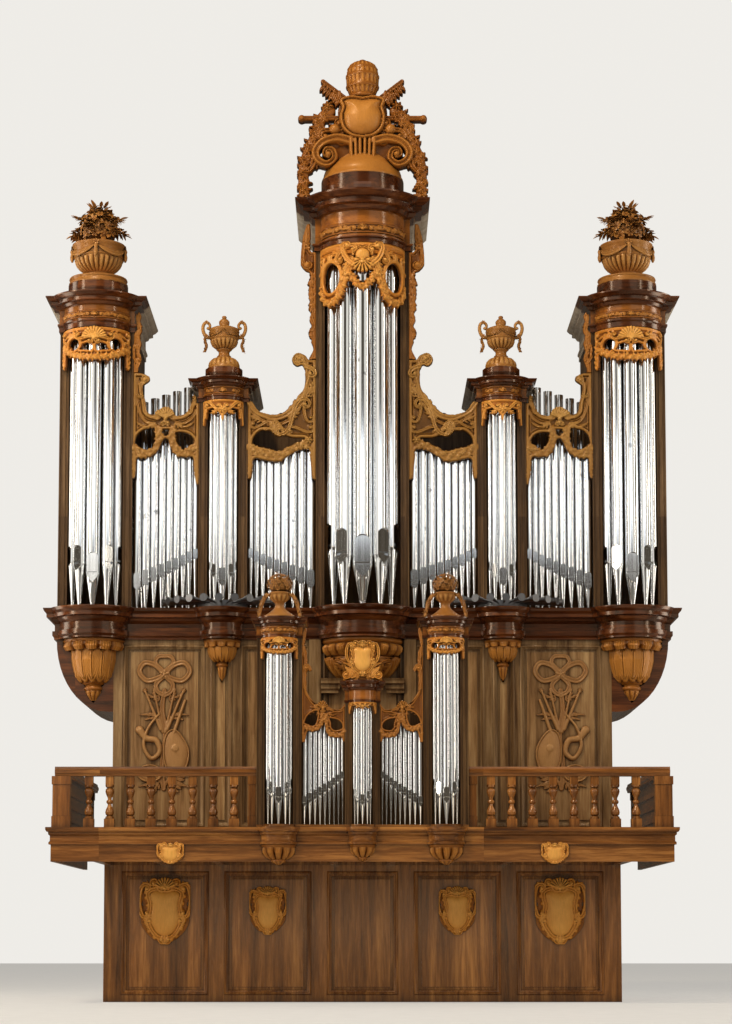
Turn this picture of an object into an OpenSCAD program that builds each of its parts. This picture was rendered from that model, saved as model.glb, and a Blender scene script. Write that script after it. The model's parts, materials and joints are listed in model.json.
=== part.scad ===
/* [Main case] */
// Depth of the case behind its front posts
case_depth = 2000; // [1800:10:2300]
// Height of the toe boards that the main pipes stand on
toe_z = 6200; // [6150:10:6300]
// Thickness of the side and back boards
board = 30; // [20:1:40]
// Depth of the front posts
post_depth = 200; // [180:1:260]
// Half width of the lower case
lower_half = 3960; // [3900:10:4000]

/* [Centre tower] */
// Half width over the posts
centre_half = 745; // [735:1:760]
// Width of a post
centre_post = 134; // [120:1:140]
// How far the bow's sides stand in from the posts' outer faces
centre_bow_in = 65; // [55:1:69]
// How far the centre of the bow lies behind the posts' front
centre_back = 150; // [140:1:160]
// Underside of the entablature
centre_arch_z = 12040; // [11900:10:12200]

/* [Inner towers] */
// Distance from the middle of the organ
inner_x = 2235; // [2225:1:2245]
// Half width over the posts
inner_half = 390; // [385:1:400]
// Width of a post
inner_post = 140; // [125:1:142]
// How far the bow's sides stand in from the posts' outer faces
inner_bow_in = 66; // [56:1:68]
// How far the centre of the bow lies behind the posts' front
inner_back = 80; // [70:1:90]
// Underside of the entablature
inner_arch_z = 9560; // [9500:5:9700]

/* [Outer towers] */
// Distance from the middle of the organ
outer_x = 4280; // [4270:1:4300]
// Half width over the posts
outer_half = 590; // [585:1:600]
// Width of a post
outer_post = 150; // [135:1:152]
// How far the bow's sides stand in from the posts' outer faces
outer_bow_in = 55; // [45:1:60]
// How far the centre of the bow lies behind the posts' front
outer_back = 120; // [110:1:130]
// Underside of the entablature
outer_arch_z = 10700; // [10600:4:10900]

/* [Gallery] */
// Distance from the case posts forward to the gallery front
gallery_out = 2300; // [2200:10:2500]
// Underside of the gallery
gallery_z = 2110; // [2050:10:2150]
// Height of the gallery front from its underside to the top of its cornice
fascia_h = 510; // [490:10:540]
// How far the gallery front reaches beyond the base at each side
gallery_beyond = 630; // [500:10:800]
// Height of the handrail top above the cornice
rail_h = 905; // [850:5:1000]
// Balusters on each side
baluster_n = 8; // [6:1:9]
// Thickness of the floor boards
deck_t = 40; // [30:1:50]

/* [Positif] */
// Depth of the small case behind its front posts
positif_depth = 800; // [700:10:900]
// Distance of the side towers from the middle
pos_outer_x = 1245; // [1235:1:1255]
// Half width of a side tower
pos_outer_half = 335; // [330:1:345]
// Half width of the middle turret
pos_centre_half = 260; // [255:1:265]
// Underside of the side towers' entablature
pos_outer_arch_z = 5449; // [5400:1:5500]
// Underside of the middle turret's entablature
pos_centre_arch_z = 4480; // [4450:1:4520]

/* [Pipes] */
// Diameter of the centre tower's middle pipe, as a share of its ring's radius
centre_pipe = 0.646; // [0.6:0.001:0.65]
// Diameter of an outer tower's middle pipe, as a share of its ring's radius
outer_pipe = 0.603; // [0.56:0.001:0.61]
// Diameter of an inner tower's middle pipe, as a share of its ring's radius
inner_pipe = 0.7; // [0.6:0.001:0.71]
// Pipes in each flat
flat_n = 9; // [7:1:11]
// Clearance between neighbouring pipes of a flat
pipe_gap = 10; // [6:1:16]
// Depth of the open bore at a pipe's top
pipe_bore = 160; // [100:10:200]
// Tubes in each fan of horizontal trumpets
trumpet_n = 11; // [9:2:11]

/* [Base] */
// How far the base reaches beyond the lower case at each side
base_beyond = 40; // [20:5:200]
// How far the base front stands out before the case posts
base_out = 700; // [600:10:1000]
// Thickness of framed walls
frame_t = 70; // [60:1:90]
// Thickness of a raised panel
panel_t = 30; // [20:1:35]

/* [Hidden] */

$fn = 48;
oak = "saddlebrown";
pale_oak = "peru";
carved = "goldenrod";
tin = "gainsboro";
seat = 0.3;
centre_bow = centre_half - centre_bow_in;
inner_bow = inner_half - inner_bow_in;
outer_bow = outer_half - outer_bow_in;
gallery_over = 75;
pos_outer_bow = pos_outer_half - 65;
pos_outer_back = 60;
pos_over = 90;
pos_reach = pos_outer_bow - pos_outer_back + pos_over;
case_y = (gallery_out + pos_reach - case_depth) / 2;
gallery_y = case_y - gallery_out;
base_y = case_y - base_out;
back_y = case_y + case_depth;
base_half = lower_half + base_beyond;
gallery_half = base_half + gallery_beyond;
cornice_z = gallery_z + fascia_h;
deck_z = cornice_z - 60;
rail_z = cornice_z + rail_h;
rail_t = 140;
impost_h = 490;
impost_z = toe_z - impost_h;
pos_toe_z = cornice_z + 40;
pos_post = 120;
pos_turret_post = 100;
pos_turret_bow = pos_centre_half - 50;
pos_turret_back = 50;
pos_post_d = 120;
turn = 36;
flat_y = 130;
crest_t = 45;

// A moulding as [out, up] points, from its foot to its top
function impost_moulding() = [
  [0, 0], [40, 0], [40, 25], [65, 60], [65, 130], [30, 130], [30, 250],
  [70, 290], [95, 330], [150, 345], [150, 400], [185, 440], [200, 475], [200, impost_h]
];
function gallery_moulding() = concat([[0, 0]], gallery_cornice());
function gallery_cornice() = [
  [0, fascia_h * 0.5], [30, fascia_h * 0.5], [30, fascia_h * 0.56], [12, fascia_h * 0.6],
  [12, fascia_h * 0.75], [35, fascia_h * 0.79], [35, fascia_h * 0.85], [60, fascia_h * 0.87],
  [gallery_over, fascia_h * 0.93], [gallery_over, fascia_h]
];
// An entablature: architrave, frieze and cornice of given heights and overhang
function entablature(a, f, c, out) = [
  [out * 0.1, 0], [out * 0.1, a * 0.6], [out * 0.2, a * 0.75], [out * 0.2, a],
  [out * 0.06, a], [out * 0.06, a + f],
  [out * 0.25, a + f + c * 0.08], [out * 0.35, a + f + c * 0.28], [out * 0.62, a + f + c * 0.34],
  [out * 0.62, a + f + c * 0.6], [out * 0.8, a + f + c * 0.68], [out, a + f + c * 0.9],
  [out, a + f + c]
];

module on_case(x = 0, z = 0) translate([x, case_y, z]) children();
module on_gallery(x = 0, z = 0) translate([x, gallery_y, z]) children();
module on_base(x = 0, z = 0) translate([x, base_y, z]) children();
module both(x) {
  translate([x, 0, 0]) children();
  mirror([1, 0, 0]) translate([x, 0, 0]) children();
}
// A box from its two corners
module block(x0, y0, z0, x1, y1, z1) translate([x0, y0, z0]) cube([x1 - x0, y1 - y0, z1 - z0]);
// A plate cut from an outline in X and Z, from y0 back to y1
module plate(y0, y1) translate([0, y1, 0]) rotate([90, 0, 0]) linear_extrude(y1 - y0) children();

// A block of half width w whose front and sides carry a moulding, and whose back is flush
module moulded_block(w, depth, m) {
  lo = m[0][1];
  hi = m[len(m) - 1][1];
  intersection() {
    translate([-w - 400, 0, 0]) rotate([90, 0, 90]) linear_extrude(2 * w + 800)
      polygon(concat([for (p = m) [-p[0], p[1]]], [[depth, hi], [depth, lo]]));
    translate([0, depth + 1, 0]) rotate([90, 0, 0]) linear_extrude(depth + 500)
      polygon(concat([for (p = m) [w + p[0], p[1]]],
        [for (i = [len(m) - 1:-1:0]) [-w - m[i][0], m[i][1]]]));
  }
}
// The moulding turned round a bow
module moulded_bow(r, back, m) translate([0, back, 0]) rotate([0, 0, 180])
  rotate_extrude(angle = 180, $fn = 64)
  polygon(concat([for (p = m) [r + p[0], p[1]]], [[0, m[len(m) - 1][1]], [0, m[0][1]]]));
function cap_h(m) = m[len(m) - 1][1];
// A tower's entablature: block and bow in one, hollow from below where its pipes rise, with a round
// step on top
module tower_cap(half, bow, back, depth, m, lid, step_r = 0, step_h = 0) {
  difference() {
    union() {
      moulded_block(half, depth, m);
      moulded_bow(bow, back, m);
    }
    translate([-half + 60, back, -1]) cube([2 * half - 120, depth - back - 60, cap_h(m) - lid]);
  }
  if (step_h > 0) translate([0, back, cap_h(m)]) rotate_extrude()
    polygon([[0, 0], [step_r - 40, 0], [step_r - 15, step_h * 0.3], [step_r, step_h * 0.55],
    [step_r, step_h], [0, step_h]]);
}

// One flue pipe: conical foot, flattened mouth with an arched upper lip and a pointed lower one, open top
module flue_pipe(d, mouth, top) {
  r = d / 2;
  flat_at = r * 0.62;
  lip = d * 1.15;
  difference() {
    rotate_extrude() polygon([[0, 0], [r * 0.26, 0], [r * 0.26, 6], [r, mouth], [r, top], [0, top]]);
    plate(-r - 1, -flat_at) translate([0, mouth]) {
      polygon([[-r - 1, 0], [0, -d * 0.6], [r + 1, 0], [r + 1, lip], [-r - 1, lip]]);
      translate([0, lip]) circle(r * 0.9);
    }
    translate([-r * 0.7, -r - 1, mouth]) cube([r * 1.4, r * 0.75, d * 0.2]);
    translate([0, 0, top - pipe_bore]) cylinder(r = r - 4, h = pipe_bore + 1);
  }
}
// Five pipes in a ring, each mouth facing outwards. The middle one takes the given share of the ring's
// radius as its diameter, and the others less by their slimmer value
module pipe_ring(ring, share, slimmer, mouths, tops) for (i = [-2:2])
  rotate([0, 0, i * turn]) translate([0, -ring, 0])
    flue_pipe(ring * (share - slimmer[abs(i)]), mouths[abs(i)], tops[abs(i)]);
// A row of pipes between x0 and x1, which grow along the row by a steady ratio
function row_w(width, growth, i) = width * (growth - 1) / (pow(growth, flat_n) - 1) * pow(growth, i);
function row_x(width, growth, i) = width * (pow(growth, i) - 1) / (pow(growth, flat_n) - 1)
  + row_w(width, growth, i) / 2;
// The middle pipes stand taller by up to peak
module pipe_row(x0, x1, growth, mouth0, mouth1, top0, top1, peak = 0) for (i = [0:flat_n - 1]) {
  s = i / (flat_n - 1);
  translate([x0 + sign(x1 - x0) * row_x(abs(x1 - x0), growth, i), 0, 0])
    flue_pipe(row_w(abs(x1 - x0), growth, i) - pipe_gap, mouth0 + (mouth1 - mouth0) * s,
      top0 + (top1 - top0) * s + peak * max(0, 1 - abs(2 * s - 1) * 2.5));
}

// A panel with a raised field, its bevels worked all round
module raised_panel(x0, z0, x1, z1, t, bevel) {
  xm = (x0 + x1) / 2;
  w = (x1 - x0) / 2;
  h = z1 - z0;
  translate([xm, 0, z0]) intersection() {
    translate([-w, 0, 0]) rotate([90, 0, 90]) linear_extrude(2 * w)
      polygon([[t, 0], [t * 0.6, 0], [t * 0.5, bevel], [0, bevel + 2], [0, h - bevel - 2],
      [t * 0.5, h - bevel], [t * 0.6, h], [t, h]]);
    linear_extrude(h)
      polygon([[-w, t], [-w, t * 0.6], [-w + bevel, t * 0.5], [-w + bevel + 2, 0],
               [w - bevel - 2, 0], [w - bevel, t * 0.5], [w, t * 0.6], [w, t]]);
  }
}
// A flat shape and its mirror image
module both2() {
  children();
  mirror([1, 0]) children();
}
// A rectangle outline
module rect(x0, z0, x1, z1) translate([x0, z0]) square([x1 - x0, z1 - z0]);

// Base wall below the gallery
base_stile = 300;
base_mid = 520;
base_wide = (base_half - base_mid - 3 * base_stile) / 2;
base_open = [[0, base_mid], [base_mid + base_stile, base_mid + base_stile + base_wide],
  [base_half - base_stile - base_wide, base_half - base_stile]];
base_sill = 140;
base_rail = 130;
base_head = gallery_z - base_rail;
module base_frame() color(oak) on_base() plate(0, frame_t) difference() {
  rect(-base_half, 0, base_half, gallery_z);
  rect(-base_open[0][1], base_sill, base_open[0][1], base_head);
  for (i = [1, 2]) both2() rect(base_open[i][0], base_sill, base_open[i][1], base_head);
}
module base_panels() color(pale_oak) on_base() translate([0, 25, 0]) {
  raised_panel(-base_open[0][1] + seat, base_sill + seat, base_open[0][1] - seat, base_head - seat,
    panel_t, 90);
  for (i = [1, 2]) both(0)
    raised_panel(base_open[i][0] + seat, base_sill + seat, base_open[i][1] - seat, base_head - seat,
      panel_t, 90);
}
// An outline of a blank shield with scrolled shoulders, half width w and height h, about its middle
module shield_outline(w, h) {
  translate([0, h * 0.12]) circle(w * 0.8);
  translate([0, -h * 0.1]) circle(w * 0.72);
  translate([-w * 0.35, -h / 2]) square([w * 0.7, h]);
  for (s = [-1, 1]) {
    translate([s * w * 0.68, h * 0.3]) circle(w * 0.32);
    translate([s * w * 0.6, -h * 0.24]) circle(w * 0.26);
  }
}
// Each cartouche hangs below the head of its opening; the larger one leaves base_cart_gap
base_cart_gap = 70;
base_cart_h = (base_head - base_sill) * 0.532;
base_cart_z = base_head - base_cart_gap - base_cart_h / 2;
module base_cartouches() color(carved) on_base() for (k = [[1, -30, 0.73], [2, -35, 1]])
  both(0) translate([(base_open[k[0]][0] + base_open[k[0]][1]) / 2, 0, base_cart_z]) plate(k[1], 25 - seat)
    shield_outline(base_cart_h * k[2] * 0.367, base_cart_h * k[2]);
module base_walls() color(oak) {
  both(0) block(base_half - board, base_y + frame_t, 0, base_half, back_y, gallery_z);
  back_wall(base_half, 0, gallery_z);
}
// A plain back wall that stands between two side walls
module back_wall(half, z0, z1)
  block(-half + board + seat, back_y - board, z0, half - board - seat, back_y, z1);

// Gallery
joist_n = 10;
joist_w = 120;
curb_y = 200;
module gallery_joists() color(oak) for (i = [0:joist_n - 1])
  translate([-base_half + i * (2 * base_half - joist_w) / (joist_n - 1), gallery_y + 60, gallery_z])
    cube([joist_w, case_depth + gallery_out - 60, deck_z - deck_t - gallery_z]);
module gallery_deck() color(pale_oak)
  block(-gallery_half + 60, gallery_y + 60, deck_z - deck_t, gallery_half - 60, back_y, deck_z);
pos_half = pos_outer_x + pos_outer_half;
gallery_depth = gallery_out + case_depth;
// Front and side runs of the gallery's moulded edge, mitred at the corner, with the curb on the deck
module gallery_fascia() color(oak) both(0) on_gallery(0, gallery_z) {
  m = gallery_moulding();
  difference() {
    intersection() {
      rotate([90, 0, 90]) linear_extrude(gallery_half + 200)
        polygon(concat([for (p = m) [-p[0], p[1]]], [[curb_y, fascia_h], [curb_y, 0]]));
      translate([0, curb_y, 0]) rotate([90, 0, 0]) linear_extrude(curb_y + 200)
        polygon(concat([[pos_half, 0]], [for (p = m) [gallery_half + p[0], p[1]]], [[pos_half, fascia_h]]));
    }
    translate([0, 60, -1]) cube([gallery_half - 60, gallery_depth, deck_z - gallery_z + 1]);
  }
  translate([0, gallery_depth, 0]) rotate([90, 0, 0]) linear_extrude(gallery_depth - curb_y - seat)
    polygon(concat([for (p = m) [gallery_half + p[0], p[1]]], [[gallery_half - curb_y, fascia_h],
      [gallery_half - curb_y, deck_z - gallery_z], [gallery_half - 60, deck_z - gallery_z],
      [gallery_half - 60, 0]]));
}
module gallery_cartouches() color(carved) on_gallery() both(0)
  translate([2850, 0, gallery_z + fascia_h / 4]) plate(-60, 0) {
    circle(100);
    for (a = [45:90:315]) rotate(a) translate([125, 0]) circle(36);
    square([150, 246], center = true);
  }
baluster_h = rail_h - rail_t;
baluster_y = 120;
rail_x0 = pos_half;
newel_w = 280;
newel_x = gallery_half - newel_w / 2;
baluster_x0 = pos_half + 335;
baluster_x1 = newel_x - 410;
function vase(r0, r1, h) = [
  [r0, 0], [r0, h * 0.06], [r1 * 0.6, h * 0.1], [r1 * 0.92, h * 0.2], [r1, h * 0.34],
  [r1 * 0.86, h * 0.5], [r1 * 0.5, h * 0.72], [r1 * 0.42, h * 0.85]];
module baluster() {
  block_h = 150;
  turned = baluster_h - 2 * block_h;
  half = turned / 2;
  low = vase(60, 66, half);
  translate([-77, -77, 0]) cube([154, 154, block_h - 20]);
  translate([0, 0, block_h - 20]) rotate_extrude() polygon(concat([[0, 0]], [[66, 0], [66, 20]],
    [for (p = low) [p[0], p[1] + 20]], [[44, half], [50, half + 12], [50, half + 28], [44, half + 40]],
    [for (i = [len(low) - 1:-1:0]) [low[i][0], turned + 20 - low[i][1]]],
    [[66, turned + 20], [66, turned + 40], [0, turned + 40]]));
  translate([-60, -60, baluster_h - block_h + 20]) cube([120, 120, block_h - 20]);
}
module baluster_row() for (i = [0:baluster_n - 1])
  on_gallery(baluster_x0 + i * (baluster_x1 - baluster_x0) / (baluster_n - 1), cornice_z)
    translate([0, baluster_y, 0]) baluster();
module balusters_left() color(oak) mirror([1, 0, 0]) baluster_row();
module balusters_right() color(oak) baluster_row();
// The handrail as [out, up] points about its middle line
rail_half = 95;
module handrail() color(oak) both(0) {
  prof = [[-rail_half + 20, 0], [rail_half - 20, 0], [rail_half - 12, 30], [rail_half, 50], [rail_half, 90],
    [rail_half - 15, 110], [rail_half - 20, rail_t], [-rail_half + 20, rail_t], [-rail_half + 15, 110],
    [-rail_half, 90], [-rail_half, 50], [-rail_half + 12, 30]];
  z = rail_z - rail_t;
  translate([rail_x0, gallery_y + baluster_y, z]) rotate([90, 0, 90])
    linear_extrude(newel_x - rail_x0 + rail_half) polygon(prof);
  translate([newel_x, gallery_y + baluster_y + rail_half + seat, z]) rotate([90, 0, 180])
    linear_extrude(gallery_depth - baluster_y - rail_half - seat) polygon(prof);
}
module newel_posts() color(oak) both(0) on_gallery() {
  translate([newel_x, baluster_y, cornice_z]) post_of(newel_w, 170, baluster_h);
  translate([pos_half + 65, baluster_y, cornice_z]) post_of(130, 150, baluster_h);
  translate([newel_x + 25, gallery_depth - 60, cornice_z]) post_of(120, 120, baluster_h);
}
module post_of(w, d, h) {
  translate([-w / 2, -d / 2, 0]) cube([w, d, h * 0.22]);
  translate([-w / 2 + 12, -d / 2 + 12, 0]) cube([w - 24, d - 24, h]);
  translate([-w / 2, -d / 2, h * 0.84]) cube([w, d, h * 0.16]);
}
module side_rails() color(oak) both(0) on_gallery() {
  x = newel_x + 25;
  y0 = baluster_y + 85;
  y1 = gallery_depth - 120;
  block(x - 20, y0, cornice_z, x + 20, y1, cornice_z + baluster_h);
  for (k = [0:2]) block(x - 45, y0, cornice_z + 130 + k * 200, x - 20, y1, cornice_z + 200 + k * 200);
}

// Positif
module positif_plinth() color(oak) on_gallery(0, gallery_z) {
  difference() {
    union() {
      translate([-pos_half, 0, 0]) rotate([90, 0, 90]) linear_extrude(2 * pos_half)
        polygon(concat([for (p = gallery_moulding()) [-p[0], p[1]]], [[curb_y, fascia_h], [curb_y, 0]]));
      for (s = [-1, 1]) translate([s * pos_outer_x, 0, 0])
        moulded_bow(pos_outer_bow, pos_outer_back, gallery_cornice());
      moulded_bow(pos_turret_bow, pos_turret_back, gallery_cornice());
    }
    translate([-pos_half - 1, 60, -1]) cube([2 * pos_half + 2, 400, deck_z - gallery_z + 1]);
  }
  // The toe board that the small pipes stand on
  block(-pos_half, 0, fascia_h, pos_half, curb_y, fascia_h + 40);
  for (s = [-1, 1]) translate([s * pos_outer_x, 0, fascia_h])
    toe_bow(pos_outer_bow - 20, pos_outer_back, 40);
  translate([0, 0, fascia_h]) toe_bow(pos_turret_bow - 20, pos_turret_back, 40);
}
module toe_bow(r, back, h) difference() {
  translate([0, back, 0]) cylinder(r = r, h = h);
  translate([-r - 1, 0, -1]) cube([2 * r + 2, 2 * r + 2, h + 2]);
}
// A hanging corbel, cut flush with the wall behind: a turned bowl, and below it a drop whose own
// axis lies nearer the wall
module hanging(back, bowl, drop_back, drop) difference() {
  foot = drop[len(drop) - 1][1];
  r = bowl[0][0];
  union() {
    translate([0, back, 0]) rotate_extrude()
      polygon(concat([[0, bowl[0][1]]], bowl, [[0, bowl[len(bowl) - 1][1]]]));
    translate([0, drop_back, 0]) rotate_extrude() polygon(concat([[0, drop[0][1]]], drop));
  }
  translate([-r - 50, 0, foot - 1]) cube([2 * r + 100, 3 * r + 100, 2 - foot]);
}
module positif_corbels() color(carved) on_gallery(0, gallery_z + fascia_h / 2) {
  for (s = [-1, 1]) translate([s * pos_outer_x, 0, 0]) hanging(pos_outer_back, [[262, -seat], [264, -35],
    [232, -85], [218, -130], [170, -190], [120, -225]], 30,
    [[110, -205], [110, -245], [80, -280], [0, -315]]);
  hanging(pos_turret_back, [[200, -seat], [204, -30], [172, -75], [160, -115], [115, -165], [75, -190]],
    25, [[70, -175], [75, -208], [50, -235], [0, -258]]);
}
module positif_posts() color(oak) on_gallery(0, pos_toe_z) {
  both(0) {
    for (s = [-1, 1]) translate([pos_outer_x + s * (pos_outer_half - pos_post / 2), pos_post_d / 2, 0])
      case_post(pos_post, pos_post_d, pos_outer_arch_z - pos_toe_z);
    translate([pos_centre_half - pos_turret_post / 2, pos_post_d / 2, 0])
      case_post(pos_turret_post, pos_post_d, pos_centre_arch_z - pos_toe_z);
  }
}
// A case post: a beaded plan raised from end to end, with a foot block
module case_post(w, d, h) {
  bead = w * 0.09;
  linear_extrude(h) difference() {
    square([w, d], center = true);
    for (s = [-1, 1]) translate([s * w * 0.28, -d / 2]) circle(bead, $fn = 24);
  }
}
pos_wall_z = pos_toe_z + 1770;
module positif_walls() color(oak) on_gallery() {
  y0 = pos_post_d;
  top = pos_outer_arch_z;
  inner = pos_outer_x - pos_outer_half;
  both(0) difference() {
    block(pos_half - board, y0, deck_z, pos_half, positif_depth, top);
    block(pos_half - board - 1, y0 - 1, deck_z - 1, pos_half + 1, curb_y + seat, pos_toe_z);
  }
  both(0) block(inner, y0, pos_wall_z, inner + board, positif_depth - board - seat, top);
  plate(positif_depth - board, positif_depth) {
    rect(-pos_half + board + seat, deck_z, pos_half - board - seat, pos_wall_z);
    both2() rect(inner, pos_wall_z, pos_half - board - seat, top);
  }
}
pos_cap = entablature(48, 114, 141, pos_over);
module positif_entablatures() color(oak) both(0) on_gallery(pos_outer_x, pos_outer_arch_z)
  tower_cap(pos_outer_half, pos_outer_bow, pos_outer_back, positif_depth, pos_cap, 40);
pos_turret_cap = entablature(40, 130, 150, 80);
module positif_turret_top() color(oak) on_gallery(0, pos_centre_arch_z)
  tower_cap(pos_centre_half, pos_turret_bow, pos_turret_back, 300, pos_turret_cap, 40);

// A pierced and scalloped pelmet round a bow, hung below the entablature
module bow_pelmet(r, back, t, drop, side, open_r, open_x, open_z) difference() {
  intersection() {
    translate([0, back, -side]) difference() {
      cylinder(r = r, h = side, $fn = 144);
      translate([0, 0, -1]) cylinder(r = r - t, h = side + 2, $fn = 144);
    }
    plate(-r - 1, 0) pelmet_outline(r, drop, side);
  }
  for (s = [-1, 1]) translate([s * open_x, 0, -open_z]) plate(-r - 1, 0) circle(open_r);
}
function pelmet_edge(r, drop, side, x) = let (u = abs(x) / r)
  -drop * (0.62 + 0.38 * cos(360 * u * 1.1)) - (side - drop) * pow(u, 3);
module pelmet_outline(r, drop, side) {
  n = 12;
  polygon(concat([[-r, 0]], [for (i = [-n:n])
    [i * r / n, max(-side, pelmet_edge(r, drop, side, i * r / n))]], [[r, 0]]));
}
module positif_pelmets() color(carved) on_gallery() {
  for (s = [-1, 1]) translate([s * pos_outer_x, 0, pos_outer_arch_z - seat])
    bow_pelmet(pos_outer_bow - 2, pos_outer_back, 18, 260, 330, 34, 70, 90);
  translate([0, 0, pos_centre_arch_z - seat])
    bow_pelmet(pos_turret_bow - 2, pos_turret_back, 16, 130, 180, 20, 55, 50);
}

// A smooth path through points, with n steps between neighbours
function bend(p, n = 3) = concat([for (i = [0:len(p) - 2]) for (k = [0:n - 1])
  let (t = k / n, a = p[max(i - 1, 0)], b = p[i], c = p[i + 1], d = p[min(i + 2, len(p) - 1)])
  (2 * b + (c - a) * t + (2 * a - 5 * b + 4 * c - d) * t * t + (3 * b - a - 3 * c + d) * t * t * t) / 2],
  [p[len(p) - 1]]);
// Points as [share of the way from x0 to x1, height above z], placed
function spread(x0, x1, z, path) = [for (p = path) [x0 + (x1 - x0) * p[0], z + p[1]]];
// A crest that fills the top of a flat between two posts: its top edge, its foot and the openings
// sawn through it
module crest_outline(x0, x1, z, top, foot, holes) difference() {
  polygon(spread(x0, x1, z, concat(bend(top), bend(foot))));
  for (h = holes) polygon(spread(x0, x1, z, bend(concat(h, [h[0]]))));
}
pos_flat_x0 = pos_centre_half;
pos_flat_x1 = pos_outer_x - pos_outer_half;
// The small crests rise beside the towers as a scrolled wing, clear of the tower's architrave
pos_crest_top = [[0, 1800], [0.03, 1752], [0.11, 1703], [0.24, 1703], [0.37, 1740], [0.43, 1789],
  [0.5, 1838], [0.59, 1813], [0.63, 1777], [0.73, 1813], [0.83, 1899], [0.9, 1984], [0.91, 2107],
  [0.9, 2217], [0.86, 2296], [0.8, 2308], [0.78, 2345], [0.84, 2378], [0.89, 2449], [0.9, 2571],
  [0.94, 2644], [0.92, 2754], [0.9, 2815], [0.88, 2913], [0.92, 2956], [0.955, 2920], [0.96, 2840],
  [0.965, 2785], [1, 2785]];
pos_crest_foot = [[1, 1240], [0.96, 1235], [0.92, 1245], [0.87, 1380], [0.82, 1398], [0.73, 1400],
  [0.6, 1428], [0.52, 1500], [0.49, 1600], [0.46, 1560], [0.43, 1447], [0.38, 1337], [0.22, 1312],
  [0.1, 1310], [0.05, 1240], [0, 1235]];
pos_crest_holes = [
  [[0.93, 1520], [0.88, 1605], [0.78, 1669], [0.64, 1691], [0.64, 1593], [0.69, 1495], [0.78, 1477]],
  [[0.36, 1587], [0.2, 1569], [0.1, 1526], [0.06, 1459], [0.11, 1422], [0.24, 1410], [0.31, 1447],
  [0.32, 1520]]];
module positif_crests() color(carved) both(0) on_gallery() plate(20, 50)
  crest_outline(pos_flat_x0, pos_flat_x1, pos_toe_z, pos_crest_top, pos_crest_foot, pos_crest_holes);

module positif_tower_pipes() color(tin) on_gallery(0, pos_toe_z) {
  h = pos_outer_arch_z - pos_toe_z;
  for (s = [-1, 1]) translate([s * pos_outer_x, pos_outer_back, 0])
    pipe_ring(pos_outer_bow * 0.63, 0.647, [0, 0.118, 0.2], [380, 490, 560], [h - 30, h - 60, h - 90]);
  hc = pos_centre_arch_z - pos_toe_z;
  translate([0, pos_turret_back, 0])
    pipe_ring(pos_turret_bow * 0.581, 0.607, [0, 0.098, 0.164], [330, 400, 450], [hc - 20, hc - 40, hc - 60]);
}
module positif_flat_pipes() color(tin) on_gallery(0, pos_toe_z) both(0) translate([0, 100, 0])
  pipe_row(pos_flat_x0 + 4, pos_flat_x1 - 4, 1.035, 716, 320, 1370, 1450, 250);
module positif_urns() color(carved) both(0)
  on_gallery(pos_outer_x, pos_outer_arch_z + cap_h(pos_cap) + seat)
  translate([0, pos_outer_back, 0]) rotate_extrude()
    polygon([[0, 0], [240, 0], [240, 30], [200, 60], [150, 95],
    [90, 140], [65, 200], [65, 245], [100, 262], [147, 310], [147, 370], [110, 400], [120, 410], [180, 440],
    [195, 510], [170, 590], [110, 640], [40, 660], [0, 662]]);
module positif_cartouche() color(carved) on_gallery(0, pos_centre_arch_z + cap_h(pos_turret_cap) + seat)
  plate(-110, -20) {
  polygon([[-310, 0], [310, 0], [240, 150], [150, 420], [70, 560], [0, 590], [-70, 560], [-150, 420],
    [-240, 150]]);
  both2() {
    translate([220, 90]) circle(90);
    translate([170, 300]) circle(70);
  }
}

// Lower case between gallery and impost
pilaster_x0 = 660;
pilaster_x1 = 850;
low_open = [[0, pilaster_x0 - 60], [pilaster_x1 + 20, 1910], [2100, 2390], [2530, lower_half - 190]];
low_sill = deck_z + 200;
low_head = impost_z - 110;
pilaster_t = 60;
module lower_frame() color(oak) on_case() {
  plate(0, frame_t) difference() {
    rect(-lower_half, deck_z, lower_half, impost_z);
    rect(-low_open[0][1], low_sill, low_open[0][1], low_head);
    for (i = [1:3]) both2() rect(low_open[i][0], low_sill, low_open[i][1], low_head);
  }
  both(0) block(pilaster_x0, -pilaster_t, deck_z, pilaster_x1, 0, impost_z);
}
module lower_panels() color(pale_oak) on_case() translate([0, 30, 0]) {
  raised_panel(-low_open[0][1] + seat, low_sill + seat, low_open[0][1] - seat, low_head - seat,
    panel_t, 60);
  for (i = [1:3]) both(0)
    raised_panel(low_open[i][0] + seat, low_sill + seat, low_open[i][1] - seat, low_head - seat,
      panel_t, 80);
}
module lower_walls() color(oak) {
  both(0) block(lower_half - board, case_y + frame_t, deck_z, lower_half, back_y, impost_z);
  back_wall(lower_half, deck_z, impost_z);
}
// The lintel over the keyboards, which stops on each side of the hanging bowl
module console_lintel() color(oak) on_case(0, 4850) difference() {
  translate([-pilaster_x0 + seat, 0, 0]) rotate([90, 0, 90]) linear_extrude(2 * (pilaster_x0 - seat))
    polygon([[0, 0], [-90, 0], [-90, 40], [-120, 70], [-120, 130], [-160, 150], [-160, 190], [-180, 230],
    [0, 230]]);
  translate([0, centre_back, -1]) cylinder(r = 450, h = 300);
}
module side_brackets() color(oak) both(0) {
  x0 = lower_half;
  x1 = outer_x + outer_half;
  w = x1 - x0;
  h = 1150;
  n = 12;
  belly = [for (i = [0:n]) let (a = 90 * i / n) [x0 + w * (0.1 + 0.9 * sin(a)) , impost_z - h * cos(a)]];
  plate_of = concat([[x0, impost_z], [x0, impost_z - h]], belly);
  difference() {
    plate(case_y, back_y) polygon(plate_of);
    translate([x0, 0, impost_z]) scale((w - board) / w) translate([-x0, 0, -impost_z])
      plate((case_y + board) * w / (w - board), (back_y - board) * w / (w - board)) polygon(plate_of);
  }
}

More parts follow.
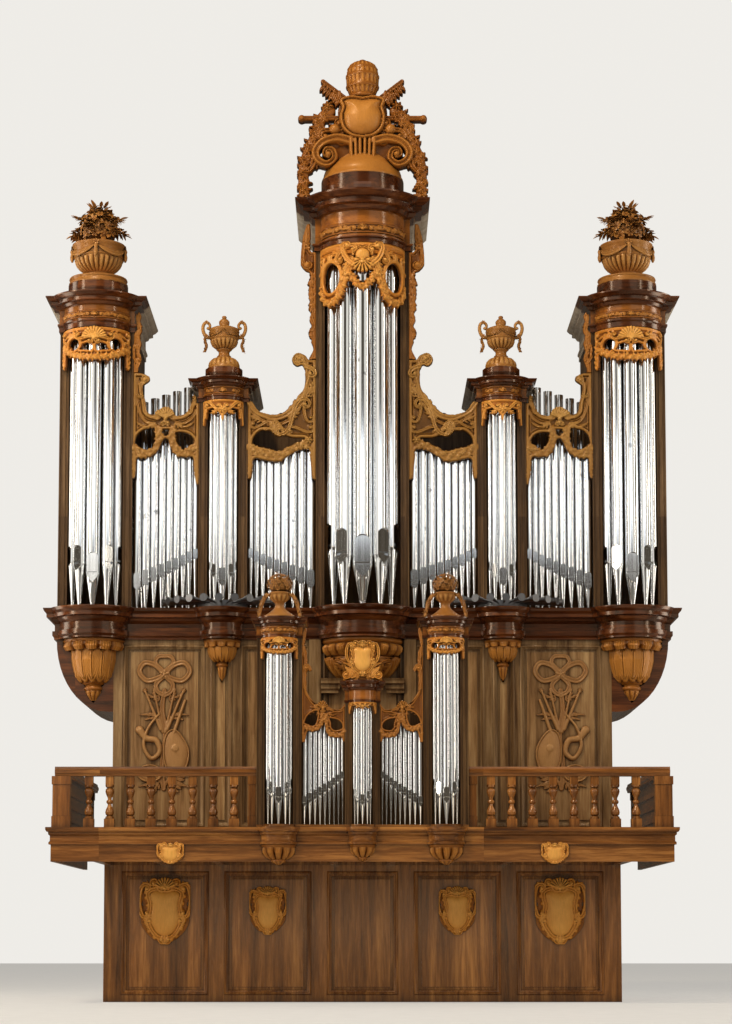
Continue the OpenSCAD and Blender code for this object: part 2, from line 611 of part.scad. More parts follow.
// Impost: the moulded ledge that carries the towers and flats
tower_list = [[0, centre_bow, centre_back], [inner_x, inner_bow, inner_back],
  [outer_x, outer_bow, outer_back]];
case_half = outer_x + outer_half;
impost_front = 400;
impost_side = 150;
module impost() color(oak) on_case(0, impost_z) {
  m = impost_moulding();
  moulded_block(case_half, impost_front, m);
  for (t = tower_list) for (s = t[0] == 0 ? [1] : [-1, 1])
    translate([s * t[0], 0, 0]) moulded_bow(t[1], t[2], m);
  both(0) translate([0, case_depth, 0]) rotate([90, 0, 0]) linear_extrude(case_depth - impost_front - seat)
    polygon(concat([for (p = m) [case_half + p[0], p[1]]],
      [[case_half - impost_side, impost_h], [case_half - impost_side, 0]]));
  translate([-case_half + impost_side + seat, case_depth - 100, 0])
    cube([2 * (case_half - impost_side - seat), 100, impost_h]);
}
module culots() color(carved) on_case(0, impost_z) {
  hanging(centre_back, [[660, -seat], [665, -80], [620, -180], [560, -340], [470, -500], [370, -620],
    [290, -710]],
    70, [[200, -680], [190, -740], [215, -780], [160, -860], [90, -930], [0, -985]]);
  for (s = [-1, 1]) {
    translate([s * inner_x, 0, 0]) hanging(inner_back, [[300, -seat], [305, -50], [270, -105], [215, -125],
      [200, -200], [165, -310], [100, -375]], 35,
      [[80, -350], [75, -385], [98, -415], [78, -490], [58, -590], [0, -690]]);
    translate([s * outer_x, 0, 0]) hanging(outer_back,
      [[500, -seat], [495, -50], [475, -105], [400, -160], [335, -175],
      [330, -300], [305, -460], [270, -600], [215, -700], [150, -745]],
      50, [[130, -710], [120, -760], [150, -790], [125, -870], [70, -960], [0, -1010]]);
  }
}

// Main case
module case_posts() color(oak) on_case(0, toe_z) both(0) {
  py = post_depth / 2;
  translate([centre_half - centre_post / 2, py, 0])
    case_post(centre_post, post_depth, centre_arch_z - toe_z);
  for (s = [-1, 1]) {
    translate([inner_x + s * (inner_half - inner_post / 2), py, 0])
      case_post(inner_post, post_depth, inner_arch_z - toe_z);
    translate([outer_x + s * (outer_half - outer_post / 2), py, 0])
      case_post(outer_post, post_depth, outer_arch_z - toe_z);
  }
}
// The back rises behind the flats' crests, and the towers' side walls start at the flats' heads
back_top = inner_arch_z;
wall_foot = toe_z + 2700;
module case_back() color(oak) plate(back_y - board, back_y) {
  rect(-case_half, toe_z, case_half, back_top);
  rect(-centre_half, back_top, centre_half, centre_arch_z);
  both2() rect(outer_x - outer_half, back_top, outer_x + outer_half, outer_arch_z);
}
module case_sides() color(oak) both(0) {
  y0 = case_y + post_depth;
  y1 = back_y - board;
  block(case_half - board, y0, toe_z, case_half, y1, outer_arch_z);
  block(outer_x - outer_half, y0, wall_foot, outer_x - outer_half + board, y1, outer_arch_z);
  block(centre_half - board, y0, wall_foot, centre_half, y1, centre_arch_z);
  for (s = [-1, 1]) block(inner_x + s * (inner_half - board / 2) - board / 2, y0, wall_foot,
    inner_x + s * (inner_half - board / 2) + board / 2, y1, inner_arch_z);
}
centre_cap = entablature(110, 410, 280, 340);
outer_cap = entablature(130, 220, 200, 220);
inner_cap = entablature(75, 142, 138, 170);
centre_step = 370;
outer_step = 230;
inner_step = 185;
module centre_entablature() color(oak) on_case(0, centre_arch_z)
  tower_cap(centre_half, centre_bow, centre_back, case_depth, centre_cap, 60, centre_bow - 10, centre_step);
module outer_entablatures() color(oak) both(0) on_case(outer_x, outer_arch_z)
  tower_cap(outer_half, outer_bow, outer_back, case_depth, outer_cap, 50, outer_bow - 55, outer_step);
module inner_entablatures() color(oak) both(0) on_case(inner_x, inner_arch_z)
  tower_cap(inner_half, inner_bow, inner_back, case_depth, inner_cap, 50, inner_bow - 25, inner_step);
module centre_pelmet() color(carved) on_case(0, centre_arch_z - seat)
  bow_pelmet(centre_bow - 2, centre_back, 28, 760, 1050, 150, 250, 330);
module outer_pelmets() color(carved) for (s = [-1, 1]) on_case(s * outer_x, outer_arch_z - seat)
  bow_pelmet(outer_bow - 2, outer_back, 26, 560, 640, 75, 160, 190);
module inner_pelmets() color(carved) for (s = [-1, 1]) on_case(s * inner_x, inner_arch_z - seat)
  bow_pelmet(inner_bow - 2, inner_back, 22, 330, 400, 40, 90, 110);
// The crests start at the inner post and end at the outer one; each shares its top corner with the
// wing above it
outer_crest_top = [[0, 3345], [0.05, 3360], [0.06, 3440], [0.08, 3500], [0.095, 3380], [0.14, 3236],
  [0.22, 3150], [0.33, 3119], [0.38, 3148], [0.41, 3217], [0.5, 3271], [0.59, 3227], [0.65, 3187],
  [0.66, 3145], [0.72, 3139], [0.8, 3197], [0.83, 3373], [0.865, 3510], [0.87, 3627], [0.82, 3676],
  [0.765, 3725], [0.79, 3800], [0.86, 3830], [0.9, 3840], [1, 3840]];
outer_crest_foot = [[1, 2140], [0.98, 2140], [0.96, 2250], [0.935, 2440], [0.85, 2445], [0.77, 2465],
  [0.68, 2513], [0.62, 2600], [0.57, 2720], [0.51, 2770], [0.45, 2720], [0.39, 2552], [0.31, 2484],
  [0.22, 2465], [0.15, 2470], [0.085, 2440], [0.06, 2200], [0.04, 2030], [0, 2020]];
outer_crest_holes = [
  [[0.965, 2670], [0.94, 2807], [0.865, 2894], [0.77, 2928], [0.68, 2934], [0.67, 2670], [0.745, 2592],
  [0.865, 2611]],
  [[0.35, 2865], [0.22, 2865], [0.115, 2807], [0.06, 2689], [0.12, 2674], [0.22, 2592], [0.26, 2596],
  [0.35, 2748]],
  [[0.57, 2914], [0.435, 2914], [0.46, 2845], [0.507, 2815], [0.545, 2845]]];
inner_crest_top = [[0, 4060], [0.11, 4060], [0.16, 4130], [0.25, 4165], [0.32, 4110], [0.35, 4036],
  [0.33, 3980], [0.27, 3965], [0.21, 3985], [0.165, 3923], [0.145, 3722], [0.18, 3546], [0.29, 3421],
  [0.4, 3271], [0.555, 3150], [0.76, 3165], [0.87, 3225], [0.93, 3345], [0.96, 3350], [1, 3345]];
inner_crest_foot = [[1, 2120], [0.97, 2110], [0.94, 2200], [0.92, 2400], [0.88, 2443], [0.8, 2430],
  [0.71, 2405], [0.6, 2390], [0.53, 2393], [0.46, 2440], [0.39, 2513], [0.3, 2570], [0.24, 2590],
  [0.16, 2600], [0.1, 2580], [0.07, 2450], [0.05, 2170], [0.03, 2100], [0, 2100]];
inner_crest_holes = [[[0.93, 2669], [0.92, 2769], [0.85, 2869], [0.76, 2907], [0.645, 2882], [0.566, 2799],
  [0.486, 2832], [0.35, 2782], [0.167, 2774], [0.26, 2694], [0.395, 2631], [0.53, 2563], [0.71, 2606],
  [0.87, 2644]]];
module outer_flat_crests() color(carved) both(0) on_case() plate(5, 5 + crest_t)
  crest_outline(inner_x + inner_half, outer_x - outer_half, toe_z, outer_crest_top, outer_crest_foot,
    outer_crest_holes);
module inner_flat_crests() color(carved) both(0) on_case() plate(5, 5 + crest_t)
  crest_outline(centre_half, inner_x - inner_half, toe_z, inner_crest_top, inner_crest_foot,
    inner_crest_holes);
// Carved wings beside the posts: leafy strips that end beside the frieze, the centre one with a volute.
// Points are [mm from the post, mm above the arch], the foot as a share of the height down to the crest
centre_wing = [[110, -1780], [60, -1690], [30, -1600], [70, -1480], [113, -1340], [60, -1230],
  [100, -1120], [70, -1020], [125, -920], [90, -820], [135, -700], [105, -600], [140, -510], [90, -440],
  [110, -350], [170, -325], [230, -250], [238, -160], [235, -60], [228, 60], [215, 180], [200, 280],
  [170, 400], [140, 460]];
centre_wing_in = [[100, 460], [95, 330], [95, 230], [112, 120], [105, 30], [75, -5], [0, -5]];
outer_wing = [[90, -655], [60, -590], [88, -520], [117, -400], [78, -310], [127, -210], [88, -95],
  [137, 40], [100, 170], [125, 270], [90, 340]];
outer_wing_in = [[60, 335], [52, 250], [52, 60], [50, 10], [40, -5], [0, -5]];
module centre_wings() color(carved) both(0) on_case() plate(5, 5 + crest_t)
  polygon(wing_path(centre_half, 1, centre_arch_z, toe_z + 4060 + seat, centre_wing, centre_wing_in));
module outer_wings() color(carved) both(0) on_case() plate(5, 5 + crest_t)
  polygon(wing_path(outer_x - outer_half, -1, outer_arch_z, toe_z + 3840 + seat, outer_wing,
    outer_wing_in));
// A wing's outline: up its free edge from the foot, round its head, and down to the post under the arch
function wing_path(x, way, arch, foot, edge, inside) = let (k = (foot - arch) / edge[0][1])
  concat([[x, foot]], [for (p = concat(bend(edge), inside))
    [x + way * p[0], arch + p[1] * (p[1] < 0 ? k : 1)]]);

module centre_tower_pipes() color(tin) on_case(0, toe_z) translate([0, centre_back, 0]) {
  h = centre_arch_z - toe_z;
  pipe_ring(centre_bow * 0.706, centre_pipe, [0, 0.084, 0.146], [640, 830, 1000],
    [h - 60, h - 160, h - 260]);
}
module outer_tower_pipes() color(tin) for (s = [-1, 1]) on_case(s * outer_x, toe_z)
  translate([0, outer_back, 0]) {
  h = outer_arch_z - toe_z;
  pipe_ring(outer_bow * 0.682, outer_pipe, [0, 0.083, 0.165], [520, 700, 760],
    [h - 50, h - 110, h - 170]);
}
module inner_tower_pipes() color(tin) for (s = [-1, 1]) on_case(s * inner_x, toe_z)
  translate([0, inner_back, 0]) {
  h = inner_arch_z - toe_z;
  pipe_ring(inner_bow * 0.617, inner_pipe, [0, 0.2, 0.3], [430, 560, 650],
    [h - 40, h - 90, h - 140]);
}
module outer_flat_pipes() color(tin) on_case(0, toe_z) both(0) translate([0, flat_y, 0])
  pipe_row(inner_x + inner_half + 6, outer_x - outer_half - 6, 1.052, 863, 400, 2540, 2560, 300);
module inner_flat_pipes() color(tin) on_case(0, toe_z) both(0) translate([0, flat_y, 0])
  pipe_row(inner_x - inner_half - 6, centre_half + 6, 1.066, 872, 427, 2500, 2640);
module inner_case_pipes() color(tin) both(0) on_case(0, toe_z) {
  block(2650, impost_front + seat, -80, 4650, 900, -seat);
  for (i = [0:4]) translate([2850 + i * 180, 650, 0]) flue_pipe(140, 700, 3740 - i * 60);
}

// Horizontal trumpets round the inner towers
trumpet_z = 72;
trumpet_a = 71;
module trumpets() color("dimgray") for (s = [-1, 1]) on_case(s * inner_x, toe_z)
  translate([0, inner_back, 0]) {
  rotate([0, 0, 180 + 90 - trumpet_a - 3]) rotate_extrude(angle = 2 * trumpet_a + 6) translate([345, 0])
    square([60, 110]);
  for (i = [0:trumpet_n - 1]) rotate([0, 0, -trumpet_a + 2 * trumpet_a * i / (trumpet_n - 1)])
    translate([0, -405 - seat, trumpet_z]) rotate([90, 0, 0]) {
      cylinder(r1 = 14, r2 = 34, h = 380);
      translate([0, 0, 380]) cylinder(r1 = 34, r2 = 62, h = 215);
    }
}

outer_top = outer_arch_z + cap_h(outer_cap) + outer_step;
urn_h = 740;
module outer_urns() color(carved) both(0) on_case(outer_x, outer_top + seat) translate([0, outer_back, 0])
  rotate_extrude() polygon([[0, 0], [467, 0], [467, 115], [170, 120], [160, 150], [140, 180], [150, 200],
  [230, 235], [320, 300], [365, 380], [385, 470], [405, 600], [415, 680], [330, 690], [170, 700],
  [165, urn_h], [0, urn_h]]);
module urn_flowers() color(carved) both(0) on_case(outer_x, outer_top + urn_h + 2 * seat)
  translate([0, outer_back, 0])
  rotate_extrude() polygon([[0, 0], [165, 0], [230, 90], [400, 200], [465, 340], [450, 460], [330, 560],
  [260, 680], [230, 800], [110, 900], [0, 940]]);
inner_top = inner_arch_z + cap_h(inner_cap) + inner_step;
module inner_urns() color(carved) both(0) on_case(inner_x, inner_top + seat) translate([0, inner_back, 0]) {
  rotate_extrude() polygon([[0, 0], [255, 0], [255, 40], [240, 110], [195, 175], [125, 205], [100, 225],
    [90, 290], [105, 335], [130, 350], [185, 400], [215, 460], [222, 520], [222, 580], [240, 650],
    [235, 680], [150, 700], [75, 705], [70, 760], [80, 790], [70, 830], [40, 850], [30, 880], [0, 900]]);
  for (s = [0, 180]) rotate([0, 0, s]) translate([265, 0, 690]) rotate([90, 0, 0]) rotate_extrude()
    translate([85, 0]) circle(22);
}

// Crest over the centre tower
centre_top = centre_arch_z + cap_h(centre_cap) + centre_step;
scroll_h = 460;
shield_h = 870;
garland_edge = [[520, 780], [580, 880], [700, 800], [800, 600], [900, 380], [990, 150], [1020, -100],
  [1010, -300]];
garland_inside = [[880, -300], [860, -60], [800, 180], [720, 360], [640, 560], [560, 680], [520, 780]];
module crest_scrolls() color(carved) on_case(0, centre_top + seat) translate([0, centre_back, 0]) {
  rotate_extrude() polygon([[0, 0], [620, 0], [620, 60], [580, 90], [540, 150], [470, 260], [400, 340],
    [360, scroll_h], [0, scroll_h]]);
  for (s = [-1, 1]) {
    translate([s * 540, 0, 300]) plate(-420, -140) circle(200);
    // A garland that hangs from the volute down to the cornice
    plate(-330, -200) polygon([for (p = concat(bend(garland_edge),
      [[1010, -centre_step], [880, -centre_step]], bend(garland_inside))) [s * p[0], p[1]]]);
  }
}
module crest_shield() color(carved) on_case(0, centre_top + scroll_h + 2 * seat)
  translate([0, centre_back - 250, 0])
  plate(-90, 60) {
    translate([0, shield_h - 400]) shield_outline(360, 800);
    rect(-200, 0, 200, 300);
    rect(-1000, 480, 1000, 560);
    for (s = [-1, 1]) translate([0, 640]) rotate(s * 52) rect(-35, -200, 35, 800);
  }
module crest_cap() color(carved) on_case(0, centre_top + scroll_h + shield_h + 3 * seat)
  translate([0, centre_back - 250, 0])
  rotate_extrude() polygon([[0, 0], [200, 0], [215, 30], [200, 60], [235, 120], [262, 260], [255, 380],
  [215, 490], [140, 570], [50, 610], [45, 640], [0, 655]]);

base_frame();
base_panels();
base_cartouches();
base_walls();
gallery_joists();
gallery_deck();
gallery_fascia();
gallery_cartouches();
balusters_left();
balusters_right();
handrail();
newel_posts();
side_rails();
positif_plinth();
positif_corbels();
positif_posts();
positif_walls();
positif_entablatures();
positif_turret_top();
positif_pelmets();
positif_crests();
positif_tower_pipes();
positif_flat_pipes();
positif_urns();
positif_cartouche();
lower_frame();
lower_panels();
lower_walls();
console_lintel();
side_brackets();
impost();
culots();
case_posts();
case_back();
case_sides();
centre_entablature();
outer_entablatures();
inner_entablatures();
centre_pelmet();
outer_pelmets();
inner_pelmets();
outer_flat_crests();
inner_flat_crests();
centre_wings();
outer_wings();
centre_tower_pipes();
outer_tower_pipes();
inner_tower_pipes();
outer_flat_pipes();
inner_flat_pipes();
inner_case_pipes();
trumpets();
outer_urns();
urn_flowers();
inner_urns();
crest_scrolls();
crest_shield();
crest_cap();
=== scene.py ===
# %% [markdown]
# Pipe organ. A French organ of polished tin pipes in a waxed oak case, with carved limewood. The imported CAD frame
# holds the case, the pipes and the plain bodies of the carving. This lesson gives every surface its finish and carves
# the wood. Everything could be modelled in Blender alone, but the frame already has the true sizes, so it is loaded
# first, and its box is kept to compare with at the end.

import cmath
import json
import math

import bpy
import numpy as np
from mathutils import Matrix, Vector


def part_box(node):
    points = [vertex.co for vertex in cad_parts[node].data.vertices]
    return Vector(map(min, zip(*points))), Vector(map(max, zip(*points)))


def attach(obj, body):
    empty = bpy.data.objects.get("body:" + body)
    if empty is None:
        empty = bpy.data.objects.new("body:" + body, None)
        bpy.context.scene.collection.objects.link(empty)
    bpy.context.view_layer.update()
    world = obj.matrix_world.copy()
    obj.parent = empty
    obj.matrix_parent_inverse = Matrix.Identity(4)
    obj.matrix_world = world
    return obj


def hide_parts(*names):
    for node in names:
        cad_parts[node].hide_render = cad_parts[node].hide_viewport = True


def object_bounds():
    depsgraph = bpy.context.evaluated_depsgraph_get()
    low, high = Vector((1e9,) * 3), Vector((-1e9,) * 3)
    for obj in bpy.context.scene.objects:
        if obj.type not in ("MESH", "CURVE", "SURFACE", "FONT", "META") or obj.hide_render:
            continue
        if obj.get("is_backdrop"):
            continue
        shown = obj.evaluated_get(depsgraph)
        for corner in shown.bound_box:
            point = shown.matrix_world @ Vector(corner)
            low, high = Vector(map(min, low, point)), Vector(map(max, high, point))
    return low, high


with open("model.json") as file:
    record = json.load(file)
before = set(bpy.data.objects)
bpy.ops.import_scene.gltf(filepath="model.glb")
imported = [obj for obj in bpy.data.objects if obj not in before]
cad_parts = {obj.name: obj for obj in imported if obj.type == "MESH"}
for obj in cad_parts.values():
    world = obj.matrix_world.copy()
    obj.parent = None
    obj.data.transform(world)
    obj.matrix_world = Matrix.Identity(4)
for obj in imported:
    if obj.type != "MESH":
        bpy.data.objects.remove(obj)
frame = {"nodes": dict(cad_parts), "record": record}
CAD_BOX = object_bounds()
print("CAD nodes:", len(frame["nodes"]))

# %% [markdown]
# Places. The carving has to sit on the case wherever the case stands. The heights and depths could be typed in again,
# but then a change of the CAD would leave the carving behind, so they are read from the boxes of the nodes.

# %% Places on the case
def low(node):
    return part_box(node)[0]


def high(node):
    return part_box(node)[1]


CASE_Y = low("case_posts").y
GALLERY_Y = low("positif_posts").y
IMPOST_Z = low("impost").z
BASE_Y = low("base_frame").y
BASE_TOP = high("base_frame").z
print("case plane", round(CASE_Y, 3), "gallery plane", round(GALLERY_Y, 3), "impost", round(IMPOST_Z, 3))

# %% [markdown]
# Towers. Each round tower is a part of a circle that bows out between two posts. The pelmet, the frieze, the hanging
# bowl and the urn all follow the same circle, so one small class keeps it, instead of four sets of numbers.

# %% Towers
class Tower:
    """A round tower: its axis, the radius of its bow, how far the axis lies behind the posts, and its arch."""

    def __init__(self, x, half, bow, back, arch, front):
        self.x, self.half, self.bow, self.back, self.arch = x, half, bow, back, arch
        self.y = front + back
        self.reach = math.acos(back / bow) - 0.03


CENTRE = Tower(0.0, 0.745, 0.678, 0.150, high("centre_pelmet").z, CASE_Y)
OUTER = Tower(4.280, 0.590, 0.533, 0.120, high("outer_pelmets").z, CASE_Y)
INNER = Tower(2.235, 0.390, 0.322, 0.080, high("inner_pelmets").z, CASE_Y)
POS_OUTER = Tower(1.245, 0.335, 0.268, 0.060, high("positif_pelmets").z, GALLERY_Y)
TURRET = Tower(0.0, 0.260, 0.208, 0.050, low("positif_turret_top").z, GALLERY_Y)
print("towers at", [t.x for t in (CENTRE, INNER, OUTER, POS_OUTER, TURRET)])

# %% [markdown]
# Finishes. A material is a small graph of nodes. It could be wired by hand in the shader editor. Here a few helpers
# add a node with its settings and links, so that the recipe of a finish reads in the order it is applied.

# %% Nodes of a material
def put(tree, kind, settings=None, **inputs):
    """A node with its settings and inputs. An input may be a value or another node's socket."""
    node = tree.nodes.new("ShaderNode" + kind)
    for key, value in (settings or {}).items():
        setattr(node, key, value)
    for key, value in inputs.items():
        index = int(key[1:]) if key[0] == "i" and key[1:].isdigit() else key.replace("_", " ")
        if isinstance(value, bpy.types.NodeSocket):
            tree.links.new(value, node.inputs[index])
        else:
            node.inputs[index].default_value = value
    return node


def math_node(tree, operation, a, b=0.0):
    return put(tree, "Math", {"operation": operation}, i0=a, i1=b).outputs[0]


def vector_math(tree, operation, a, b=(0, 0, 0)):
    return put(tree, "VectorMath", {"operation": operation}, i0=a, i1=b).outputs[0]

# %% Colours
def rgb(r, g, b):
    return (r, g, b, 1.0)


def grey(v):
    return (v, v, v, 1.0)


def blend_colour(tree, share, a, b, mode="MIX"):
    """Two colours mixed by a share from 0 to 1. The Mix node keeps its colours in sockets 6 and 7."""
    node = put(tree, "Mix", {"data_type": "RGBA", "blend_type": mode}, i0=share, i6=a, i7=b)
    return node.outputs[2]


def ramp(tree, value, *stops):
    node = tree.nodes.new("ShaderNodeValToRGB")
    tree.links.new(value, node.inputs[0])
    while len(node.color_ramp.elements) < len(stops):
        node.color_ramp.elements.new(0.5)
    for element, (place, colour) in zip(node.color_ramp.elements, stops):
        element.position, element.color = place, colour
    return node.outputs[0]

# %% [markdown]
# Effects that several finishes share are node groups, built once and placed in each material with its own values: the
# figure of wood, the painted shade in hollows and the marks that a plane or a gouge draws out. Painted images could
# do the same, but each board would have to be unwrapped. Noise in the object's own metres runs on through every
# piece.

# %% New groups and materials
def new_group(name, inputs, outputs):
    """An empty group: its tree, the sockets that it is given and the sockets that it fills."""
    tree = bpy.data.node_groups.new(name, "ShaderNodeTree")
    for socket, kind in inputs.items():
        tree.interface.new_socket(socket, in_out="INPUT", socket_type="NodeSocket" + kind)
    for socket in outputs:
        tree.interface.new_socket(socket, in_out="OUTPUT", socket_type="NodeSocketFloat")
    return tree, tree.nodes.new("NodeGroupInput").outputs, tree.nodes.new("NodeGroupOutput").inputs


def placed(tree, group, **values):
    """The outputs of a group placed in a material with its own values."""
    node = tree.nodes.new("ShaderNodeGroup")
    node.node_tree = group
    for name, value in values.items():
        node.inputs[name.replace("_", " ")].default_value = value
    return node.outputs


def new_material(name):
    material = bpy.data.materials.new(name)
    material.use_nodes = True
    tree = material.node_tree
    tree.nodes.clear()
    out = tree.nodes.new("ShaderNodeOutputMaterial")
    shader = tree.nodes.new("ShaderNodeBsdfPrincipled")
    tree.links.new(shader.outputs[0], out.inputs[0])
    return material, tree, shader

# %% Figure of wood
def figure_group():
    """Figure is the broad streaks, Pores the fine lines, Boards a tone for each board. Each board's grain is
    moved by a random step, so that no streak runs on from one board into the next."""
    tree, given, filled = new_group("wood_figure", {"Along": "Vector", "Board": "Vector"},
                                    ("Figure", "Pores", "Boards"))
    where = put(tree, "TexCoord").outputs["Object"]
    boards = vector_math(tree, "ADD", vector_math(tree, "MULTIPLY", where, given["Board"]), (0.37, 0.41, 0.23))
    tone = put(tree, "TexWhiteNoise", {"noise_dimensions": "3D"}, Vector=vector_math(tree, "FLOOR", boards))
    step = vector_math(tree, "MULTIPLY", tone.outputs["Color"], (5.0, 5.0, 5.0))
    grain = vector_math(tree, "MULTIPLY", vector_math(tree, "ADD", where, step), given["Along"])
    broad = put(tree, "TexNoise", Vector=grain, Scale=0.7, Detail=6.0, Roughness=0.58, Distortion=0.6).outputs[0]
    fine = put(tree, "TexNoise", Vector=grain, Scale=3.2, Detail=5.0, Roughness=0.65, Distortion=0.4).outputs[0]
    pores = put(tree, "TexNoise", Vector=grain, Scale=11.0, Detail=3.0, Roughness=0.7).outputs[0]
    broad, fine = math_node(tree, "MULTIPLY", broad, 0.62), math_node(tree, "MULTIPLY", fine, 0.38)
    tree.links.new(math_node(tree, "ADD", broad, fine), filled["Figure"])
    tree.links.new(pores, filled["Pores"])
    tree.links.new(tone.outputs["Value"], filled["Boards"])
    return tree


FIGURE = figure_group()
print("wood figure:", len(FIGURE.nodes), "nodes")

# %% Painted shade and drawn marks
def painted_shade_group():
    """How much painted shade darkens a point: Most where it is shut in, none where it stands open."""
    shares = ("Reach", "Shut", "Open", "Most")
    tree, given, filled = new_group("painted_shade", {name: "Float" for name in shares}, ("Painted Shade",))
    room = put(tree, "AmbientOcclusion", {"samples": 6}, Distance=given["Reach"]).outputs["AO"]
    share = put(tree, "MapRange", Value=room, From_Min=given["Shut"], From_Max=given["Open"], To_Min=given["Most"],
                To_Max=0.0).outputs[0]
    tree.links.new(share, filled["Painted Shade"])
    return tree


def drawn_group():
    """Noise drawn out by a scale for each axis."""
    tree, given, filled = new_group("drawn_marks", {"Stretch": "Vector", "Detail": "Float"}, ("Marks",))
    where = vector_math(tree, "MULTIPLY", put(tree, "TexCoord").outputs["Object"], given["Stretch"])
    marks = put(tree, "TexNoise", Vector=where, Scale=1.0, Detail=given["Detail"], Roughness=0.6).outputs[0]
    tree.links.new(marks, filled["Marks"])
    return tree


PAINTED_SHADE, DRAWN = painted_shade_group(), drawn_group()
print("groups:", [group.name for group in (FIGURE, PAINTED_SHADE, DRAWN)])

# %% [markdown]
# Waxed oak and walnut. Real oak has broad streaks, fine pores and boards that differ a little, and its corners are
# darkened with painted shade. The colour is built up in that order. A clear coat gives the wax its shine, and the
# pores lift the normal slightly. Each entablature has a lighter frieze band and, deep behind the front, a paler
# colour.

# %% Waxed wood
WARM_SHINE = rgb(1.0, 0.66, 0.40)


def between(tree, value, lo, hi, soft=0.012):
    """1 where a coordinate lies between lo and hi."""
    rise = put(tree, "MapRange", Value=value, From_Min=lo - soft, From_Max=lo).outputs[0]
    fall = put(tree, "MapRange", Value=value, From_Min=hi, From_Max=hi + soft).outputs[0]
    return math_node(tree, "MULTIPLY", rise, math_node(tree, "SUBTRACT", 1.0, fall))


def wood(name, dark, mid, light, along_grain, board, gloss=0.35, coat=0.15, depth=0.3, boards=0.12, band=None,
         pale_from=None):
    """along_grain and board scale the object's metres: small along the grain, large across it. band is the height
    of a lighter frieze, and pale_from the depth from which the colour turns pale."""
    material, tree, shader = new_material(name)
    figure, pores, tones = placed(tree, FIGURE, Along=along_grain, Board=board)
    colour = ramp(tree, figure, (0.34, dark), (0.50, mid), (0.66, light))
    apart = put(tree, "SeparateXYZ", Vector=put(tree, "TexCoord").outputs["Object"])
    if band:
        golden = ramp(tree, figure, (0.34, rgb(0.16, 0.042, 0.006)), (0.6, rgb(0.44, 0.15, 0.024)))
        colour = blend_colour(tree, between(tree, apart.outputs[2], *band), colour, golden)
    # Deep behind the front of the case the colour turns pale.
    if pale_from:
        pale = ramp(tree, figure, (0.35, rgb(0.50, 0.40, 0.30)), (0.6, rgb(0.84, 0.74, 0.60)))
        colour = blend_colour(tree, between(tree, apart.outputs[1], pale_from, 9.0, 0.1), colour, pale)
    open_pores = ramp(tree, pores, (0.32, grey(0.62)), (0.50, grey(1.0)))
    colour = blend_colour(tree, 0.55, colour, open_pores, "MULTIPLY")
    board_tones = ramp(tree, tones, (0.0, grey(1 - boards)), (1.0, grey(1 + boards)))
    colour = blend_colour(tree, 1.0, colour, board_tones, "MULTIPLY")
    # Painted shade: ambient occlusion darkens the colour in corners and hollows.
    painted_shade = placed(tree, PAINTED_SHADE, Reach=0.22, Shut=0.30, Open=0.85, Most=0.96)["Painted Shade"]
    tree.links.new(blend_colour(tree, painted_shade, colour, rgb(0.018, 0.009, 0.005)), shader.inputs["Base Color"])
    rough = math_node(tree, "ADD", math_node(tree, "MULTIPLY", pores, -0.16), gloss + 0.08)
    tree.links.new(rough, shader.inputs["Roughness"])
    shader.inputs["Specular Tint"].default_value = WARM_SHINE
    shader.inputs["Coat Weight"].default_value = coat
    shader.inputs["Coat Roughness"].default_value = 0.16
    bump = put(tree, "Bump", Strength=depth, Distance=0.003, Height=pores)
    tree.links.new(bump.outputs[0], shader.inputs["Normal"])
    return material

# %% [markdown]
# Carved limewood. The colour has painted shade in the hollows and a painted highlight on the crests. Ambient
# occlusion alone finds the hollows, but not how high a stroke stands, so each carving also stores a tone from 0 to 1
# on its points, and the finish reads it as an attribute.

# %% Carved wood
def carved_wood(name, deep, mid, bright, gloss=0.40, coat=0.18):
    """Painted shade in the hollows and a painted highlight on the crests, with the marks of the gouge."""
    material, tree, shader = new_material(name)
    where = put(tree, "TexCoord").outputs["Object"]
    patches = put(tree, "TexNoise", Vector=where, Scale=2.2, Detail=4.0, Roughness=0.6).outputs[0]
    grain = placed(tree, DRAWN, Stretch=(60.0, 60.0, 9.0), Detail=4.0)["Marks"]
    # Painted light: the tone of each point darkens the hollows and lightens the crests, mixed with random patches.
    tone = put(tree, "Attribute", {"attribute_name": "tone"}).outputs["Fac"]
    patches_and_painted_light = math_node(tree, "ADD", math_node(tree, "MULTIPLY", patches, 0.36), math_node(tree, "MULTIPLY", tone, 0.70))
    colour = ramp(tree, patches_and_painted_light, (0.22, deep), (0.52, mid), (0.88, bright))
    streaks = ramp(tree, grain, (0.3, rgb(0.62, 0.55, 0.48)), (0.65, grey(1.0)))
    colour = blend_colour(tree, 0.4, colour, streaks, "MULTIPLY")
    # Painted shade: ambient occlusion darkens the colour deep in the carving.
    painted_shade = placed(tree, PAINTED_SHADE, Reach=0.07, Shut=0.22, Open=0.78, Most=0.95)["Painted Shade"]
    tree.links.new(blend_colour(tree, painted_shade, colour, rgb(0.030, 0.011, 0.004)), shader.inputs["Base Color"])
    shader.inputs["Roughness"].default_value = gloss
    shader.inputs["Specular Tint"].default_value = WARM_SHINE
    shader.inputs["Coat Weight"].default_value = coat
    shader.inputs["Coat Roughness"].default_value = 0.24
    gouge = put(tree, "TexVoronoi", {"feature": "SMOOTH_F1"}, Vector=where, Scale=48.0).outputs["Distance"]
    marks = math_node(tree, "ADD", gouge, math_node(tree, "MULTIPLY", grain, 0.4))
    tree.links.new(put(tree, "Bump", Strength=0.3, Distance=0.004, Height=marks).outputs[0], shader.inputs["Normal"])
    return material

# %% [markdown]
# Pipe metal. A pipe is rolled from a sheet of tin that was cast on a table, planed and burnished, so it mirrors the
# room in long streaks. A flat grey mirror looks like chrome. Marks drawn out along the pipe dull the mirror in lines,
# and a slow ripple bends it.

